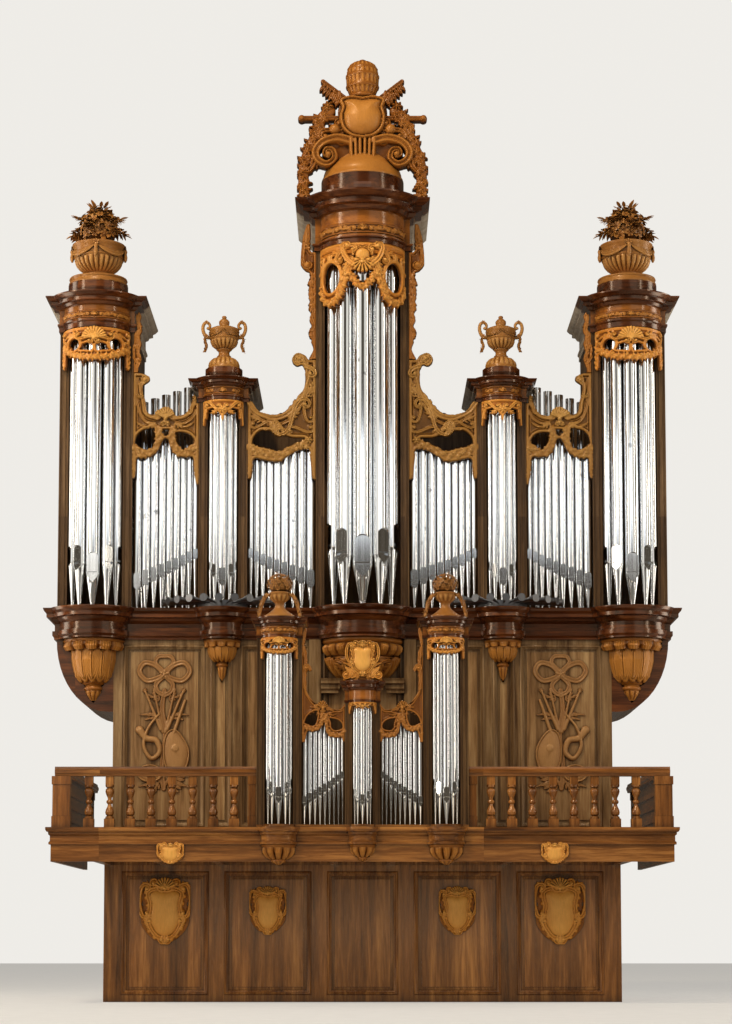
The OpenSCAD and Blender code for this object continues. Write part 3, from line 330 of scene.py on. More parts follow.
# %% Pipe metal
def metal(name, colour, roughness, streak, ripple):
    """Planed and burnished sheet, with faint drawn streaks, a few dull spots and a slow ripple."""
    material, tree, shader = new_material(name)
    drawn = placed(tree, DRAWN, Stretch=(26.0, 26.0, 0.22), Detail=2.0)["Marks"]
    slow = placed(tree, DRAWN, Stretch=(2.5, 2.5, 0.30), Detail=1.0)["Marks"]
    cloudy = put(tree, "TexNoise", Vector=put(tree, "TexCoord").outputs["Object"], Scale=7.0, Detail=1.0).outputs[0]
    spots = ramp(tree, cloudy, (0.20, grey(0.6)), (0.27, grey(1.0)))
    dull = tuple(c * 0.82 for c in colour[:3]) + (1.0,)
    surface = blend_colour(tree, 1.0, ramp(tree, drawn, (0.30, dull), (0.55, colour)), spots, "MULTIPLY")
    tree.links.new(surface, shader.inputs["Base Color"])
    rough = math_node(tree, "ADD", math_node(tree, "MULTIPLY", drawn, streak), roughness)
    tree.links.new(rough, shader.inputs["Roughness"])
    shader.inputs["Metallic"].default_value = 1.0
    tree.links.new(put(tree, "Bump", Strength=ripple, Distance=0.01, Height=slow).outputs[0], shader.inputs["Normal"])
    return material

# %% [markdown]
# The finishes of this organ. Ledges and mouldings are dark and glossy, posts duller, panels grey-brown, the gallery
# and base redder. Carving is golden where it was gilt and browner on the crests and urns.

# %% Finishes of this organ
UPRIGHT, ALONG_X = (7.0, 7.0, 0.5), (0.5, 7.0, 7.0)
OAK = rgb(0.014, 0.0030, 0.0008), rgb(0.078, 0.019, 0.0048), rgb(0.21, 0.062, 0.015)
WALNUT = rgb(0.055, 0.016, 0.003), rgb(0.24, 0.085, 0.018), rgb(0.56, 0.24, 0.058)
M = {
    "case_oak": wood("case_oak", *OAK, ALONG_X, (0.3, 0.4, 0.3), 0.22, 0.45, 0.15, 0.06),
    "post_oak": wood("post_oak", rgb(0.018, 0.008, 0.003), rgb(0.085, 0.043, 0.017), rgb(0.19, 0.11, 0.048), UPRIGHT,
                     (5.0, 3.0, 0.1), 0.40, 0.15, 0.4),
    "panel_wood": wood("panel_wood", rgb(0.055, 0.022, 0.007), rgb(0.22, 0.125, 0.052), rgb(0.40, 0.26, 0.125),
                       UPRIGHT, (3.5, 3.0, 0.1), 0.34, 0.2, 0.35),
    "field_wood": wood("field_wood", rgb(0.085, 0.034, 0.010), rgb(0.30, 0.165, 0.066), rgb(0.50, 0.32, 0.145),
                       UPRIGHT, (3.5, 3.0, 0.1), 0.32, 0.25, 0.3),
    "gallery_wood": wood("gallery_wood", *WALNUT, ALONG_X, (0.35, 0.5, 0.3), 0.24, 0.5, 0.2),
    "base_wood": wood("base_wood", *WALNUT, UPRIGHT, (3.1, 3.0, 0.1), 0.26, 0.45, 0.2, 0.16),
    "carving": carved_wood("carving", rgb(0.050, 0.012, 0.002), rgb(0.28, 0.090, 0.011), rgb(0.56, 0.235, 0.042)),
    "gilt_wood": carved_wood("gilt_wood", rgb(0.13, 0.036, 0.005), rgb(0.64, 0.23, 0.028), rgb(0.92, 0.48, 0.11)),
    "crest_wood": carved_wood("crest_wood", rgb(0.050, 0.019, 0.003), rgb(0.27, 0.115, 0.020),
                              rgb(0.56, 0.31, 0.082)),
    "urn_wood": carved_wood("urn_wood", rgb(0.060, 0.020, 0.003), rgb(0.32, 0.125, 0.024), rgb(0.58, 0.30, 0.085)),
    "trophy_wood": carved_wood("trophy_wood", rgb(0.080, 0.030, 0.008), rgb(0.30, 0.14, 0.045),
                               rgb(0.50, 0.27, 0.10)),
    "pipe_tin": metal("pipe_tin", rgb(0.86, 0.88, 0.90), 0.09, 0.04, 0.003),
    "trumpet_metal": metal("trumpet_metal", rgb(0.15, 0.15, 0.155), 0.25, 0.2, 0.08),
}
print("finishes:", ", ".join(M))

# %% [markdown]
# Finished nodes. Every node of the frame that shows keeps its CAD shape and takes the finish of its material slot.
# One oak for every entablature would be simpler, but the lighter frieze lies at another height on each tower, so each
# entablature gets its own cut of the case's oak.

# %% Finish of every node
# How far behind the front of the case the colour turns pale.
PALE_DEPTH = 0.40
slot_of = {part["node"]: part["material_slot"] for part in frame["record"]["subparts"]}
# Height of the lighter band over the foot of each entablature
FRIEZES = {
    "centre_entablature": (0.11, 0.52), "outer_entablatures": (0.13, 0.35), "inner_entablatures": (0.075, 0.217),
    "positif_entablatures": (0.048, 0.162), "positif_turret_top": (0.04, 0.17),
}
for node, ob in frame["nodes"].items():
    finish = slot_of[node]
    if node.startswith("base") and finish == "gallery_wood" or node.startswith(("baluster", "newel")):
        finish = "base_wood"
    if node == "lower_panels":
        finish = "field_wood"
    material = M.get(finish)
    if node in FRIEZES:
        a, b = (low(node).z + v for v in FRIEZES[node])
        behind = None if node.startswith("positif") else CASE_Y + PALE_DEPTH
        material = wood(node, *OAK, ALONG_X, (0.3, 0.4, 0.3), 0.22, 0.45, 0.15, 0.06, (a, b), behind)
    ob.data.materials.clear()
    ob.data.materials.append(material)
print("finished CAD nodes:", len(frame["nodes"]))

# %% [markdown]
# A carved piece is gathered as points and faces, then made into one mesh, which is far quicker than joining many
# small objects. Each point has a tone from 0, deep in the carving, to 1 on its crests, which the finish paints as
# shade in the hollows and a highlight on the crests. A carving's flat back takes as many faces as its front, so the
# larger pieces are thinned, flat parts first.

# %% Shape
THIN_OVER, THIN_TO = 2000, 0.54


class Shape:
    """Points, faces and tones of one piece."""

    def __init__(self):
        self.co, self.tone, self.faces, self.count = [], [], [], 0

    def add(self, co, faces, tone=0.6):
        co = np.asarray(co, float).reshape(-1, 3)
        self.co.append(co)
        self.tone.append(np.broadcast_to(np.asarray(tone, float), len(co)))
        for f in faces:
            if len(f):
                self.faces.append(np.asarray(f, int) + self.count)
        self.count += len(co)

    def take(self, other):
        """Adds another shape."""
        self.add(np.concatenate(other.co), other.faces, np.concatenate(other.tone))

    def mirror(self):
        """Adds the mirror image in X."""
        co, faces, tone = list(self.co), list(self.faces), list(self.tone)
        n = self.count
        self.co += [c * (-1, 1, 1) for c in co]
        self.tone += tone
        self.faces += [f[:, ::-1] + n for f in faces]
        self.count = 2 * n
        return self

    def piece(self, name, material, replaces=(), slot="carving", crease=50):
        mesh = bpy.data.meshes.new(name)
        co = np.concatenate(self.co)
        mesh.vertices.add(len(co))
        mesh.vertices.foreach_set("co", co.ravel())
        sizes = np.concatenate([np.full(len(f), f.shape[1]) for f in self.faces])
        loops = np.concatenate([f.ravel() for f in self.faces])
        mesh.loops.add(len(loops))
        mesh.loops.foreach_set("vertex_index", loops)
        mesh.polygons.add(len(sizes))
        mesh.polygons.foreach_set("loop_start", np.concatenate([[0], np.cumsum(sizes)[:-1]]))
        mesh.update(calc_edges=True)
        mesh.attributes.new("tone", "FLOAT", "POINT").data.foreach_set("value", np.concatenate(self.tone))
        mesh.polygons.foreach_set("use_smooth", np.ones(len(sizes), bool))
        mesh.set_sharp_from_angle(angle=math.radians(crease))
        mesh.validate()
        ob = bpy.data.objects.new(name, mesh)
        bpy.context.scene.collection.objects.link(ob)
        mesh.materials.append(material)
        count = int((sizes - 2).sum())
        if count > THIN_OVER:
            ob.modifiers.new("thin", "DECIMATE").ratio = THIN_TO
            count = int(count * THIN_TO)
        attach(ob, "root")
        if replaces:
            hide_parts(*replaces)
        print(name, count, "triangles")
        return ob

# %% [markdown]
# Relief. A carver saws a board, cuts openings through it, then works scrolls, leaves and garlands with the gouge.
# Curves with a bevel could make each scroll, but would lie on the board as tubes. Here a grid holds how far each
# point is from the wood's edge and how high it stands, and each stroke raises it, so that strokes run into one
# another as carving does. The grid becomes a closed panel whose rim follows the outline.

# %% Distance to an outline
def outline_gap(U, V, outline):
    """Signed distance to a closed outline, negative inside it."""
    pts = np.asarray(outline, float)
    away = np.full(U.shape, 9.0)
    inside = np.zeros(U.shape, bool)
    for a, b in zip(pts, np.roll(pts, -1, 0)):
        d = b - a
        t = np.clip(((U - a[0]) * d[0] + (V - a[1]) * d[1]) / max(d @ d, 1e-12), 0, 1)
        away = np.minimum(away, np.hypot(U - a[0] - t * d[0], V - a[1] - t * d[1]))
        if a[1] != b[1]:
            crosses = (a[1] > V) != (b[1] > V)
            inside ^= crosses & (U < a[0] + (V - a[1]) * d[0] / d[1])
    return np.where(inside, -away, away)

# %% Relief
class Relief:
    def __init__(self, u0, u1, v0, v1, step):
        self.step = step
        self.at = np.array([u0, v0])
        u = u0 + step * np.arange(int((u1 - u0) / step) + 2)
        v = v0 + step * np.arange(int((v1 - v0) / step) + 2)
        self.U, self.V = np.meshgrid(u, v, indexing="ij")
        self.gap = np.full(self.U.shape, 1.0)
        self.high = np.zeros(self.U.shape)

    def window(self, lo, hi):
        a = np.maximum(((np.asarray(lo) - self.at) / self.step).astype(int) - 2, 0)
        b = np.maximum(((np.asarray(hi) - self.at) / self.step).astype(int) + 4, 0)
        return slice(a[0], b[0]), slice(a[1], b[1])

    def lay(self, win, gap, height):
        self.gap[win] = np.minimum(self.gap[win], gap)
        self.high[win] = np.where(gap < 0, np.maximum(self.high[win], height), self.high[win])

    def stroke(self, pts, radii, height, form="round", base=0.0):
        """Wood along a path: a round roll, a hollow moulding between two beads, or a leaf with a vein."""
        pts = np.asarray(pts, float)
        radii = np.broadcast_to(np.asarray(radii, float), len(pts))
        win = self.window(pts.min(0) - radii.max(), pts.max(0) + radii.max())
        U, V = self.U[win], self.V[win]
        if U.size == 0:
            return
        gap, share = np.full(U.shape, 9.0), np.full(U.shape, 9.0)
        for a, b, ra, rb in zip(pts[:-1], pts[1:], radii[:-1], radii[1:]):
            d = b - a
            t = np.clip(((U - a[0]) * d[0] + (V - a[1]) * d[1]) / max(d @ d, 1e-12), 0, 1)
            r = np.maximum(ra + (rb - ra) * t, 1e-4)
            away = np.hypot(U - a[0] - t * d[0], V - a[1] - t * d[1])
            gap = np.minimum(gap, away - r)
            share = np.minimum(share, away / r)
        q = np.clip(share, 0, 1)
        bulge = np.sqrt(1 - q * q)
        if form == "hollow":
            bulge = bulge * (1 - 0.55 * np.exp(-((q / 0.42) ** 2)))
        elif form == "leaf":
            bulge = bulge * (0.75 + 0.25 * q) - 0.3 * np.exp(-((q / 0.16) ** 2))
        self.lay(win, gap, base + height * bulge)

    def dome(self, at, radius, height, petals=0, turn=0.0, base=0.0):
        """A boss, a berry or, with petals, a flower with a button in its middle."""
        at = np.asarray(at, float)
        win = self.window(at - radius, at + radius)
        U, V = self.U[win] - at[0], self.V[win] - at[1]
        if U.size == 0:
            return
        away = np.hypot(U, V)
        wave = np.cos(petals * (np.arctan2(V, U) - turn)) if petals else np.zeros(U.shape)
        r = radius * (1 + 0.16 * wave) / (1.16 if petals else 1)
        q = np.clip(away / r, 0, 1)
        bulge = np.sqrt(1 - q * q)
        if petals:
            bulge = bulge * (0.74 + 0.26 * wave * np.minimum(1, q * 2)) * (0.55 + 0.9 * q * (1 - q) + 0.25 * q)
            bulge = np.maximum(bulge, 0.85 * np.sqrt(np.clip(1 - (away / (0.3 * radius)) ** 2, 0, 1)))
        self.lay(win, away - r, base + height * bulge)

    def board(self, outline, height=0.004):
        gap = outline_gap(self.U, self.V, outline)
        self.lay((slice(None), slice(None)), gap, np.full(self.U.shape, height))

    def hole(self, outline):
        self.gap = np.maximum(self.gap, -outline_gap(self.U, self.V, outline))

    def swell(self, outline, height, roll, base=0.0):
        """A cushioned field that rises over its roll width from its outline."""
        gap = outline_gap(self.U, self.V, outline)
        q = np.clip(1 + gap / roll, 0, 1)
        self.lay((slice(None), slice(None)), gap, base + height * np.sqrt(1 - q * q))

    def bead(self, inset, width, height, base=0.0):
        """A roll that follows every sawn edge of the board, its middle at a distance inside the edge."""
        q = (-self.gap - inset) / width
        self.high = np.maximum(self.high, (base + height * np.sqrt(np.clip(1 - q * q, 0, 1))) * (np.abs(q) < 1))

    def trim(self, gap, over):
        """Cuts off whatever reaches more than over beyond an earlier outline."""
        self.gap = np.maximum(self.gap, gap - over)

    def shape(self, into, place, thick, top=None):
        """Adds the closed panel. place turns (along, up, out) into X, Y and Z."""
        inside = self.gap < 0
        cells = inside[:-1, :-1] | inside[1:, :-1] | inside[:-1, 1:] | inside[1:, 1:]
        gu, gv = np.gradient(self.gap, self.step)
        steep = np.maximum(np.hypot(gu, gv), 0.3)
        slide = np.clip(np.where(inside, 0, self.gap) / steep, 0, self.step)
        U, V = self.U - slide * gu / steep, self.V - slide * gv / steep
        used = np.zeros(self.U.shape, bool)
        for i in (slice(None, -1), slice(1, None)):
            for j in (slice(None, -1), slice(1, None)):
                used[i, j] |= cells
        index = np.full(self.U.shape, -1)
        n = int(used.sum())
        index[used] = np.arange(n)
        a, b = index[:-1, :-1][cells], index[1:, :-1][cells]
        c, d = index[1:, 1:][cells], index[:-1, 1:][cells]
        front = np.stack([a, b, c, d], 1)
        back = np.stack([d, c, b, a], 1) + n
        ring = np.zeros((cells.shape[0] + 2, cells.shape[1] + 2), bool)
        ring[1:-1, 1:-1] = cells
        rim = []
        for keep, p, q in (
            (cells & ~ring[1:-1, :-2], index[:-1, :-1], index[1:, :-1]),
            (cells & ~ring[2:, 1:-1], index[1:, :-1], index[1:, 1:]),
            (cells & ~ring[1:-1, 2:], index[1:, 1:], index[:-1, 1:]),
            (cells & ~ring[:-2, 1:-1], index[:-1, 1:], index[:-1, :-1]),
        ):
            p, q = p[keep], q[keep]
            rim.append(np.stack([q, p, p + n, q + n], 1))
        U, V, H = U[used], V[used], np.where(inside, self.high, 0)[used]
        co = np.concatenate([place(U, V, H + thick), place(U, V, 0 * H)])
        top = top or max(H.max(), 1e-6)
        # Painted light: height over the board becomes the tone, for painted shade low down and a painted highlight on
        # crests.
        tone = np.concatenate([np.clip(H / top, 0, 1) ** 0.5, np.full(n, 0.3)])
        into.add(co, [front, back] + rim, tone)

# %% [markdown]
# A carved panel stands flat, as over the flats, or is bent round a tower's bow. Either way a small function turns a
# place on the panel and a height over it into a place in the room.

# %% Where a panel stands
OVERHANG = 0.018


def on_plane(y, x0=0.0, side=1):
    """A carved panel that stands in the plane y, its along direction starting at x0 and running to side."""
    return lambda u, v, h: np.stack([x0 + side * u, y - h, v], 1)


def on_bow(tower, radius, z0=0.0):
    """A carved panel bent round a tower's bow."""

    def place(u, v, h):
        a = u / tower.bow
        r = radius + h
        return np.stack([tower.x + r * np.sin(a), tower.y - r * np.cos(a), z0 + v], 1)

    return place


def carved(relief, place, thick, sawn_gap=None, top=None):
    """The relief as a shape. With the gap of its sawn board, strokes reach only a little beyond that board."""
    if sawn_gap is not None:
        relief.trim(sawn_gap, OVERHANG)
    made = Shape()
    relief.shape(made, place, thick, top)
    return made

# %% [markdown]
# The carver's motifs. A scroll is a spiral out of one eye, a swelling curve and a spiral into the other. A leaf
# swells and bends to a point, and an acanthus is leaves in pairs along a middle one. A garland is a rope of flower
# heads and leaf tips. All are strokes on the grid, so a motif works at any size.

# %% Paths
def along(pts, n=40):
    """A smooth path through a few points."""
    pts = np.asarray(pts, float)
    ends = np.concatenate([[2 * pts[0] - pts[1]], pts, [2 * pts[-1] - pts[-2]]])
    out = []
    per = max(2, n // (len(pts) - 1))
    for p0, p1, p2, p3 in zip(ends, ends[1:], ends[2:], ends[3:]):
        t = np.linspace(0, 1, per, endpoint=False)[:, None]
        bend, twist = 2 * p0 - 5 * p1 + 4 * p2 - p3, 3 * p1 - p0 - 3 * p2 + p3
        out.append(0.5 * (2 * p1 + (p2 - p0) * t + bend * t**2 + twist * t**3))
    return np.concatenate(out + [pts[-1:]])


def arc(cx, cy, rx, ry, a0=0.0, a1=360.0, n=28):
    a = np.radians(np.linspace(a0, a1, n))
    return np.stack([cx + rx * np.cos(a), cy + ry * np.sin(a)], 1)

# %% Scrolls
def curl(p, q, turn_p, turn_q, eye):
    """The middle line of a scroll: a spiral out of the eye p, a swelling curve, and a spiral into the eye q.
    The turns are counter-clockwise if over 0, and eye is the least radius of a spiral."""
    p, q = complex(*p), complex(*q)
    ahead = (q - p) / abs(q - p)
    ends = []
    for at, turn, way in ((p, turn_p, -1), (q, turn_q, 1)):
        sign = 1 if turn >= 0 else -1
        heading = ahead * cmath.exp(0.45j * way * sign)
        radius = min(max(0.17 * abs(q - p), eye), 0.36 * abs(q - p)) if abs(turn) > 0.05 else 0.0
        t = np.linspace(1, 0, 18)
        swing = np.exp(2j * math.pi * turn * way * (1 - t))
        spiral = at - 1j * sign * heading * radius * (0.12 + 0.88 * t**0.9) * swing
        ends.append((heading, spiral[0], spiral))
    (h0, a, first), (h1, b, last) = ends
    pull = 0.36 * abs(b - a)
    t = np.linspace(0, 1, 22)
    link = (1 - t) ** 3 * a + 3 * (1 - t) ** 2 * t * (a + pull * h0) + 3 * (1 - t) * t**2 * (b - pull * h1) + t**3 * b
    path = np.concatenate([first[::-1], link[1:-1], last])
    return np.stack([path.real, path.imag], 1)


def scroll(relief, p, q, turn_p, turn_q, width, height, base=0.0):
    path = curl(p, q, turn_p, turn_q, 1.9 * width)
    s = np.linspace(0, 1, len(path))
    radii = width * (0.38 + 0.62 * np.sin(math.pi * s) ** 0.6)
    relief.stroke(path, radii, height, "hollow", base)
    for end, turns in ((p, turn_p), (q, turn_q)):
        if abs(turns) > 0.3:
            relief.dome(end, width * 0.85, height * 1.15, base=base)
    return path


def rail(relief, path, width, height, base=0.004):
    relief.stroke(path, width, height, "hollow", base)

# %% Leaves
def leaf(relief, at, heading, length, width, bend=0.0, height=0.02, base=0.0):
    """A leaf from its foot, heading in degrees from the horizontal, bending by bend degrees to its tip."""
    n = 9
    s = np.linspace(0, 1, n)
    a = np.radians(heading + bend * s)
    step = length / (n - 1)
    path = np.asarray(at, float) + np.stack([np.cumsum(np.cos(a)), np.cumsum(np.sin(a))], 1) * step
    relief.stroke(path, width * (0.12 + 0.88 * np.sin(math.pi * (0.12 + 0.83 * s)) ** 0.9), height, "leaf", base)


def acanthus(relief, at, heading, length, width, bend=0.0, height=0.025, base=0.0, pairs=4):
    """A lobed leaf: side leaflets in pairs along a middle one."""
    n = pairs + 2
    for i in range(pairs):
        s = (i + 0.4) / n
        a = math.radians(heading + bend * s)
        foot = (at[0] + math.cos(a) * length * s, at[1] + math.sin(a) * length * s)
        spread = 62 - 22 * s
        reach = width * (1.55 - 0.9 * abs(s - 0.35))
        for side in (-1, 1):
            leaf(relief, foot, heading + bend * s + side * spread, reach, width * 0.34, -side * 30, height * 0.85,
                 base)
    leaf(relief, at, heading, length, width * 0.42, bend, height, base)

# %% Garlands and shells
def garland(relief, path, width, height, base=0.01, seed=1):
    """A rope of flower heads, berries and leaf tips."""
    path = np.asarray(path, float)
    pick = np.random.default_rng(seed)
    seg = np.hypot(*np.diff(path, axis=0).T)
    run = np.concatenate([[0], np.cumsum(seg)])
    relief.stroke(path, width * 0.5, height * 0.45, base=base)
    n = max(3, int(run[-1] / (width * 0.42)))
    for i in range(n):
        s = (i + 0.5) / n * run[-1]
        k = min(np.searchsorted(run, s), len(path) - 1)
        d = path[k] - path[k - 1]
        side = np.array([-d[1], d[0]]) / max(np.hypot(*d), 1e-9)
        across = (i % 3 - 1) * width * 0.33 + pick.normal(0, width * 0.04)
        size = width * pick.uniform(0.30, 0.42)
        petals, turn = int(pick.integers(5, 7)), pick.uniform(0, 6)
        relief.dome(path[k] + side * across, size, height * 0.55, petals, turn, base + height * 0.35)
        tip = math.degrees(math.atan2(side[1], side[0])) + (0 if i % 2 else 180) + pick.uniform(-35, 35)
        leaf(relief, path[k], tip, width * 0.78, width * 0.16, 0, height * 0.5, base)


def shell(relief, at, radius, height, a0=0, a1=180, ribs=9, base=0.01):
    for i in range(ribs):
        a = a0 + (a1 - a0) * (i + 0.5) / ribs
        c, s = math.cos(math.radians(a)), math.sin(math.radians(a))
        foot = (at[0] + 0.15 * radius * c, at[1] + 0.15 * radius * s)
        tip = (at[0] + radius * c, at[1] + radius * s)
        relief.stroke([foot, tip], [radius * 0.05, radius * 0.155], height, base=base)
    relief.dome(at, radius * 0.2, height * 1.2, base=base)

# %% [markdown]
# Pelmets. A carved and pierced board hangs inside each arch and hides the tops of the pipes: a moulded upper part
# with a shell and scrolls, openings with moulded rims, and a garland that hangs in swags from it. Its places are
# shares of the tower's half width and of its own depth, so that one drawing serves the large and the small organ.

# %% Sizes of a pelmet's strokes
def both_ways(pts):
    """A path and its mirror image."""
    pts = np.asarray(pts, float)
    return pts, pts * (-1, 1)


def strokes_and_places(edge, drop):
    """Width and height of a pelmet's strokes, small carving being deeper for its size, and places as shares."""
    return 0.055 * drop / 0.5, 0.05 * (drop / 0.5) ** 0.6, lambda x, v: (x * edge, v * drop)

# %% Centre pelmet
def centre_pelmet(r, edge, drop, side):
    """The middle tower's: a cartouche and shell, two arched openings under hoods, and swags at the foot."""
    w, rise, at = strokes_and_places(edge, drop)
    lower = [at(0.30, -0.62), (0.46 * edge, -0.84 * side), (0.64 * edge, -0.93 * side),
             (0.84 * edge, -0.84 * side), (edge, -0.68 * side)]
    r.board([(-edge, 0), (edge, 0)] + lower[::-1] + [(-x, v) for x, v in lower])
    for pts in both_ways(arc(0.64 * edge, -0.72 * drop, 0.215 * edge, 0.32 * drop)):
        r.hole(pts)
    r.hole(arc(0, -0.60 * drop, 0.13 * edge, 0.12 * drop))
    r.bead(0.4 * w, 0.4 * w, 0.6 * rise)
    for pts in both_ways(arc(0.64 * edge, -0.72 * drop, 0.255 * edge, 0.37 * drop, -10, 200)):
        rail(r, pts, w * 0.42, rise * 0.8)
    for height, width in ((0.03, 0.6), (0.125 * drop, 0.30), (0.20 * drop, 0.42)):
        rail(r, [(-edge, -height), (edge, -height)], w * width, rise * 0.55)
    for s in (-1, 1):
        hang = along([at(s * 0.27, -0.60), (s * 0.42 * edge, -0.80 * side), (s * 0.62 * edge, -0.91 * side),
                      (s * 0.82 * edge, -0.83 * side), (s * 0.97 * edge, -0.66 * side)])
        garland(r, hang, w * 1.25, rise * 1.15, seed=3)
        garland(r, [(s * 0.95 * edge, -0.34 * side), (s * 0.96 * edge, -0.60 * side)], w * 0.8, rise * 0.9, seed=4)
        scroll(r, at(s * 0.10, -0.40), at(s * 0.26, -0.08), s * 0.75, s * 0.55, w * 0.55, rise * 1.1,
               base=0.014)
        scroll(r, at(s * 0.17, -0.16), at(s * 0.40, -0.36), -s * 0.6, -s * 0.8, w * 0.46, rise,
               base=0.010)
        scroll(r, at(s * 0.88, -0.30), at(s * 0.97, -0.52), s * 0.9, s * 0.3, w * 0.40, rise * 0.9,
               base=0.008)
        acanthus(r, at(s * 0.12, -0.33), -90 + s * 52, 0.34 * edge, w, -s * 30, rise * 0.9, 0.012)
        acanthus(r, at(s * 0.30, -0.24), 90 - s * 82, 0.34 * edge, w * 0.9, -s * 20, rise * 0.7, 0.008, 3)
        acanthus(r, at(s * 0.64, -0.36), 90, 0.14 * drop, w * 0.7, 0, rise * 0.8, 0.010, 2)
    garland(r, along([at(-0.27, -0.62), (0, -0.98 * drop), at(0.27, -0.62)]), w * 1.2, rise * 1.1, seed=5)
    r.swell(arc(0, -0.27 * drop, 0.13 * edge, 0.14 * drop), rise * 0.9, 0.10 * edge, 0.016)
    shell(r, (0, -0.40 * drop), 0.24 * drop, rise * 1.1, 200, 340, 7, 0.016)
    for s in (-1, 1):
        rail(r, arc(0, -0.27 * drop, 0.16 * edge, 0.17 * drop, 90 - s * 90, 90 + s * 60), w * 0.30, rise * 1.2)

# %% Outer pelmets
def outer_pelmet(r, edge, drop, side):
    """The outer towers': a wide shell over small openings, a swag from side to side and drops at the posts."""
    w, rise, at = strokes_and_places(edge, drop)
    lower = [at(0.30, -0.90), at(0.62, -0.82), at(0.84, -0.72),
             (0.86 * edge, -0.95 * side), (edge, -0.95 * side)]
    r.board([(-edge, 0), (edge, 0)] + lower[::-1] + [(-x, v) for x, v in lower])
    for pts in both_ways(arc(0.52 * edge, -0.50 * drop, 0.16 * edge, 0.17 * drop)):
        r.hole(pts)
    for pts in both_ways([at(0.04, -0.56), at(0.10, -0.46), at(0.30, -0.52),
                          at(0.34, -0.66), at(0.06, -0.70)]):
        r.hole(pts)
    r.bead(0.35 * w, 0.35 * w, 0.55 * rise)
    for pts in both_ways(arc(0.52 * edge, -0.49 * drop, 0.20 * edge, 0.22 * drop, -30, 210)):
        rail(r, pts, w * 0.46, rise * 0.75)
    rail(r, [(-edge, -0.03), (edge, -0.03)], w * 0.5, rise * 0.5)
    shell(r, (0, -0.36 * drop), 0.32 * drop, rise * 1.1, 8, 172, 11, 0.014)
    for s in (-1, 1):
        scroll(r, at(s * 0.10, -0.42), at(s * 0.36, -0.24), -s * 0.7, s * 0.6, w * 0.46, rise * 1.1,
               base=0.012)
        scroll(r, at(s * 0.86, -0.16), at(s * 0.76, -0.40), -s * 0.9, -s * 0.4, w * 0.36, rise,
               base=0.008)
        acanthus(r, at(s * 0.34, -0.20), 90 - s * 84, 0.50 * edge, w * 0.9, -s * 34, rise * 0.7, 0.008)
        hang = along([at(s * 0.94, -0.42), (s * 0.95 * edge, -0.7 * side), (s * 0.93 * edge, -0.97 * side)])
        garland(r, hang, w, rise * 0.9, seed=8)
    sag = along([at(-0.86, -0.55), at(-0.45, -0.82), (0, -0.90 * drop), at(0.45, -0.82),
                 at(0.86, -0.55)], 60)
    garland(r, sag, w * 1.5, rise * 1.1, seed=9)

# %% Inner pelmets
def inner_pelmet(r, edge, drop, side):
    """The inner towers': a flower between two scrolls, and a long leaf down each post."""
    w, rise, at = strokes_and_places(edge, drop)
    lower = [at(0.18, -0.62), at(0.34, -0.42), at(0.66, -0.46),
             (0.80 * edge, -0.70 * side), (edge, -0.95 * side)]
    r.board([(-edge, 0), (edge, 0)] + lower[::-1] + [(0, -0.9 * drop)] + [(-x, v) for x, v in lower])
    r.bead(0.5 * w, 0.5 * w, 0.6 * rise)
    rail(r, [(-edge, -0.02), (edge, -0.02)], w * 0.6, rise * 0.5)
    for s in (-1, 1):
        scroll(r, at(s * 0.16, -0.34), at(s * 0.62, -0.26), s * 0.8, -s * 0.6, w * 0.7, rise, base=0.008)
        acanthus(r, at(s * 0.70, -0.20), -90 + s * 26, 0.78 * side, w * 1.3, -s * 20, rise * 0.9, 0.006)
        acanthus(r, at(s * 0.20, -0.56), -90 + s * 60, 0.30 * edge, w * 0.9, s * 30, rise * 0.8, 0.006, 3)
    r.dome((0, -0.52 * drop), w * 1.9, rise * 1.2, 6, 0.3, 0.010)
    leaf(r, (0, -0.7 * drop), -90, 0.3 * drop, w * 0.7, 0, rise, 0.006)

# %% Carve the pelmets
def pelmet(tower, draw, drop, side, step):
    """A tower's pelmet, bent round its bow: drop is its depth in the middle and side its depth at the posts."""
    edge = tower.bow * tower.reach
    r = Relief(-edge, edge, -side * 1.02, 0.0, step)
    draw(r, edge, drop, side)
    return carved(r, on_bow(tower, tower.bow - 0.020, tower.arch), 0.016)


pelmet(CENTRE, centre_pelmet, 0.74, 1.04, 0.0105).piece("centre_pelmet_carving", M["gilt_wood"], ["centre_pelmet"])
pelmet(OUTER, outer_pelmet, 0.55, 0.63, 0.0095).mirror().piece("outer_pelmet_carvings", M["gilt_wood"],
                                                               ["outer_pelmets"])
pelmet(INNER, inner_pelmet, 0.33, 0.39, 0.0075).mirror().piece("inner_pelmet_carvings", M["gilt_wood"],
                                                               ["inner_pelmets"])
small = pelmet(POS_OUTER, outer_pelmet, 0.26, 0.32, 0.006).mirror()
small.take(pelmet(TURRET, inner_pelmet, 0.13, 0.175, 0.0055))
small.piece("positif_pelmet_carvings", M["gilt_wood"], ["positif_pelmets"])

# %% [markdown]
# Crests over the flats. A carver saws the board first and models it after, so each crest starts from the sawn outline
# and openings of its CAD board. They could be drawn twice, but reading them from the node keeps the two together. A
# roll follows every edge, a hollow lies inside it, and shells, scrolls and leaves are set on it.

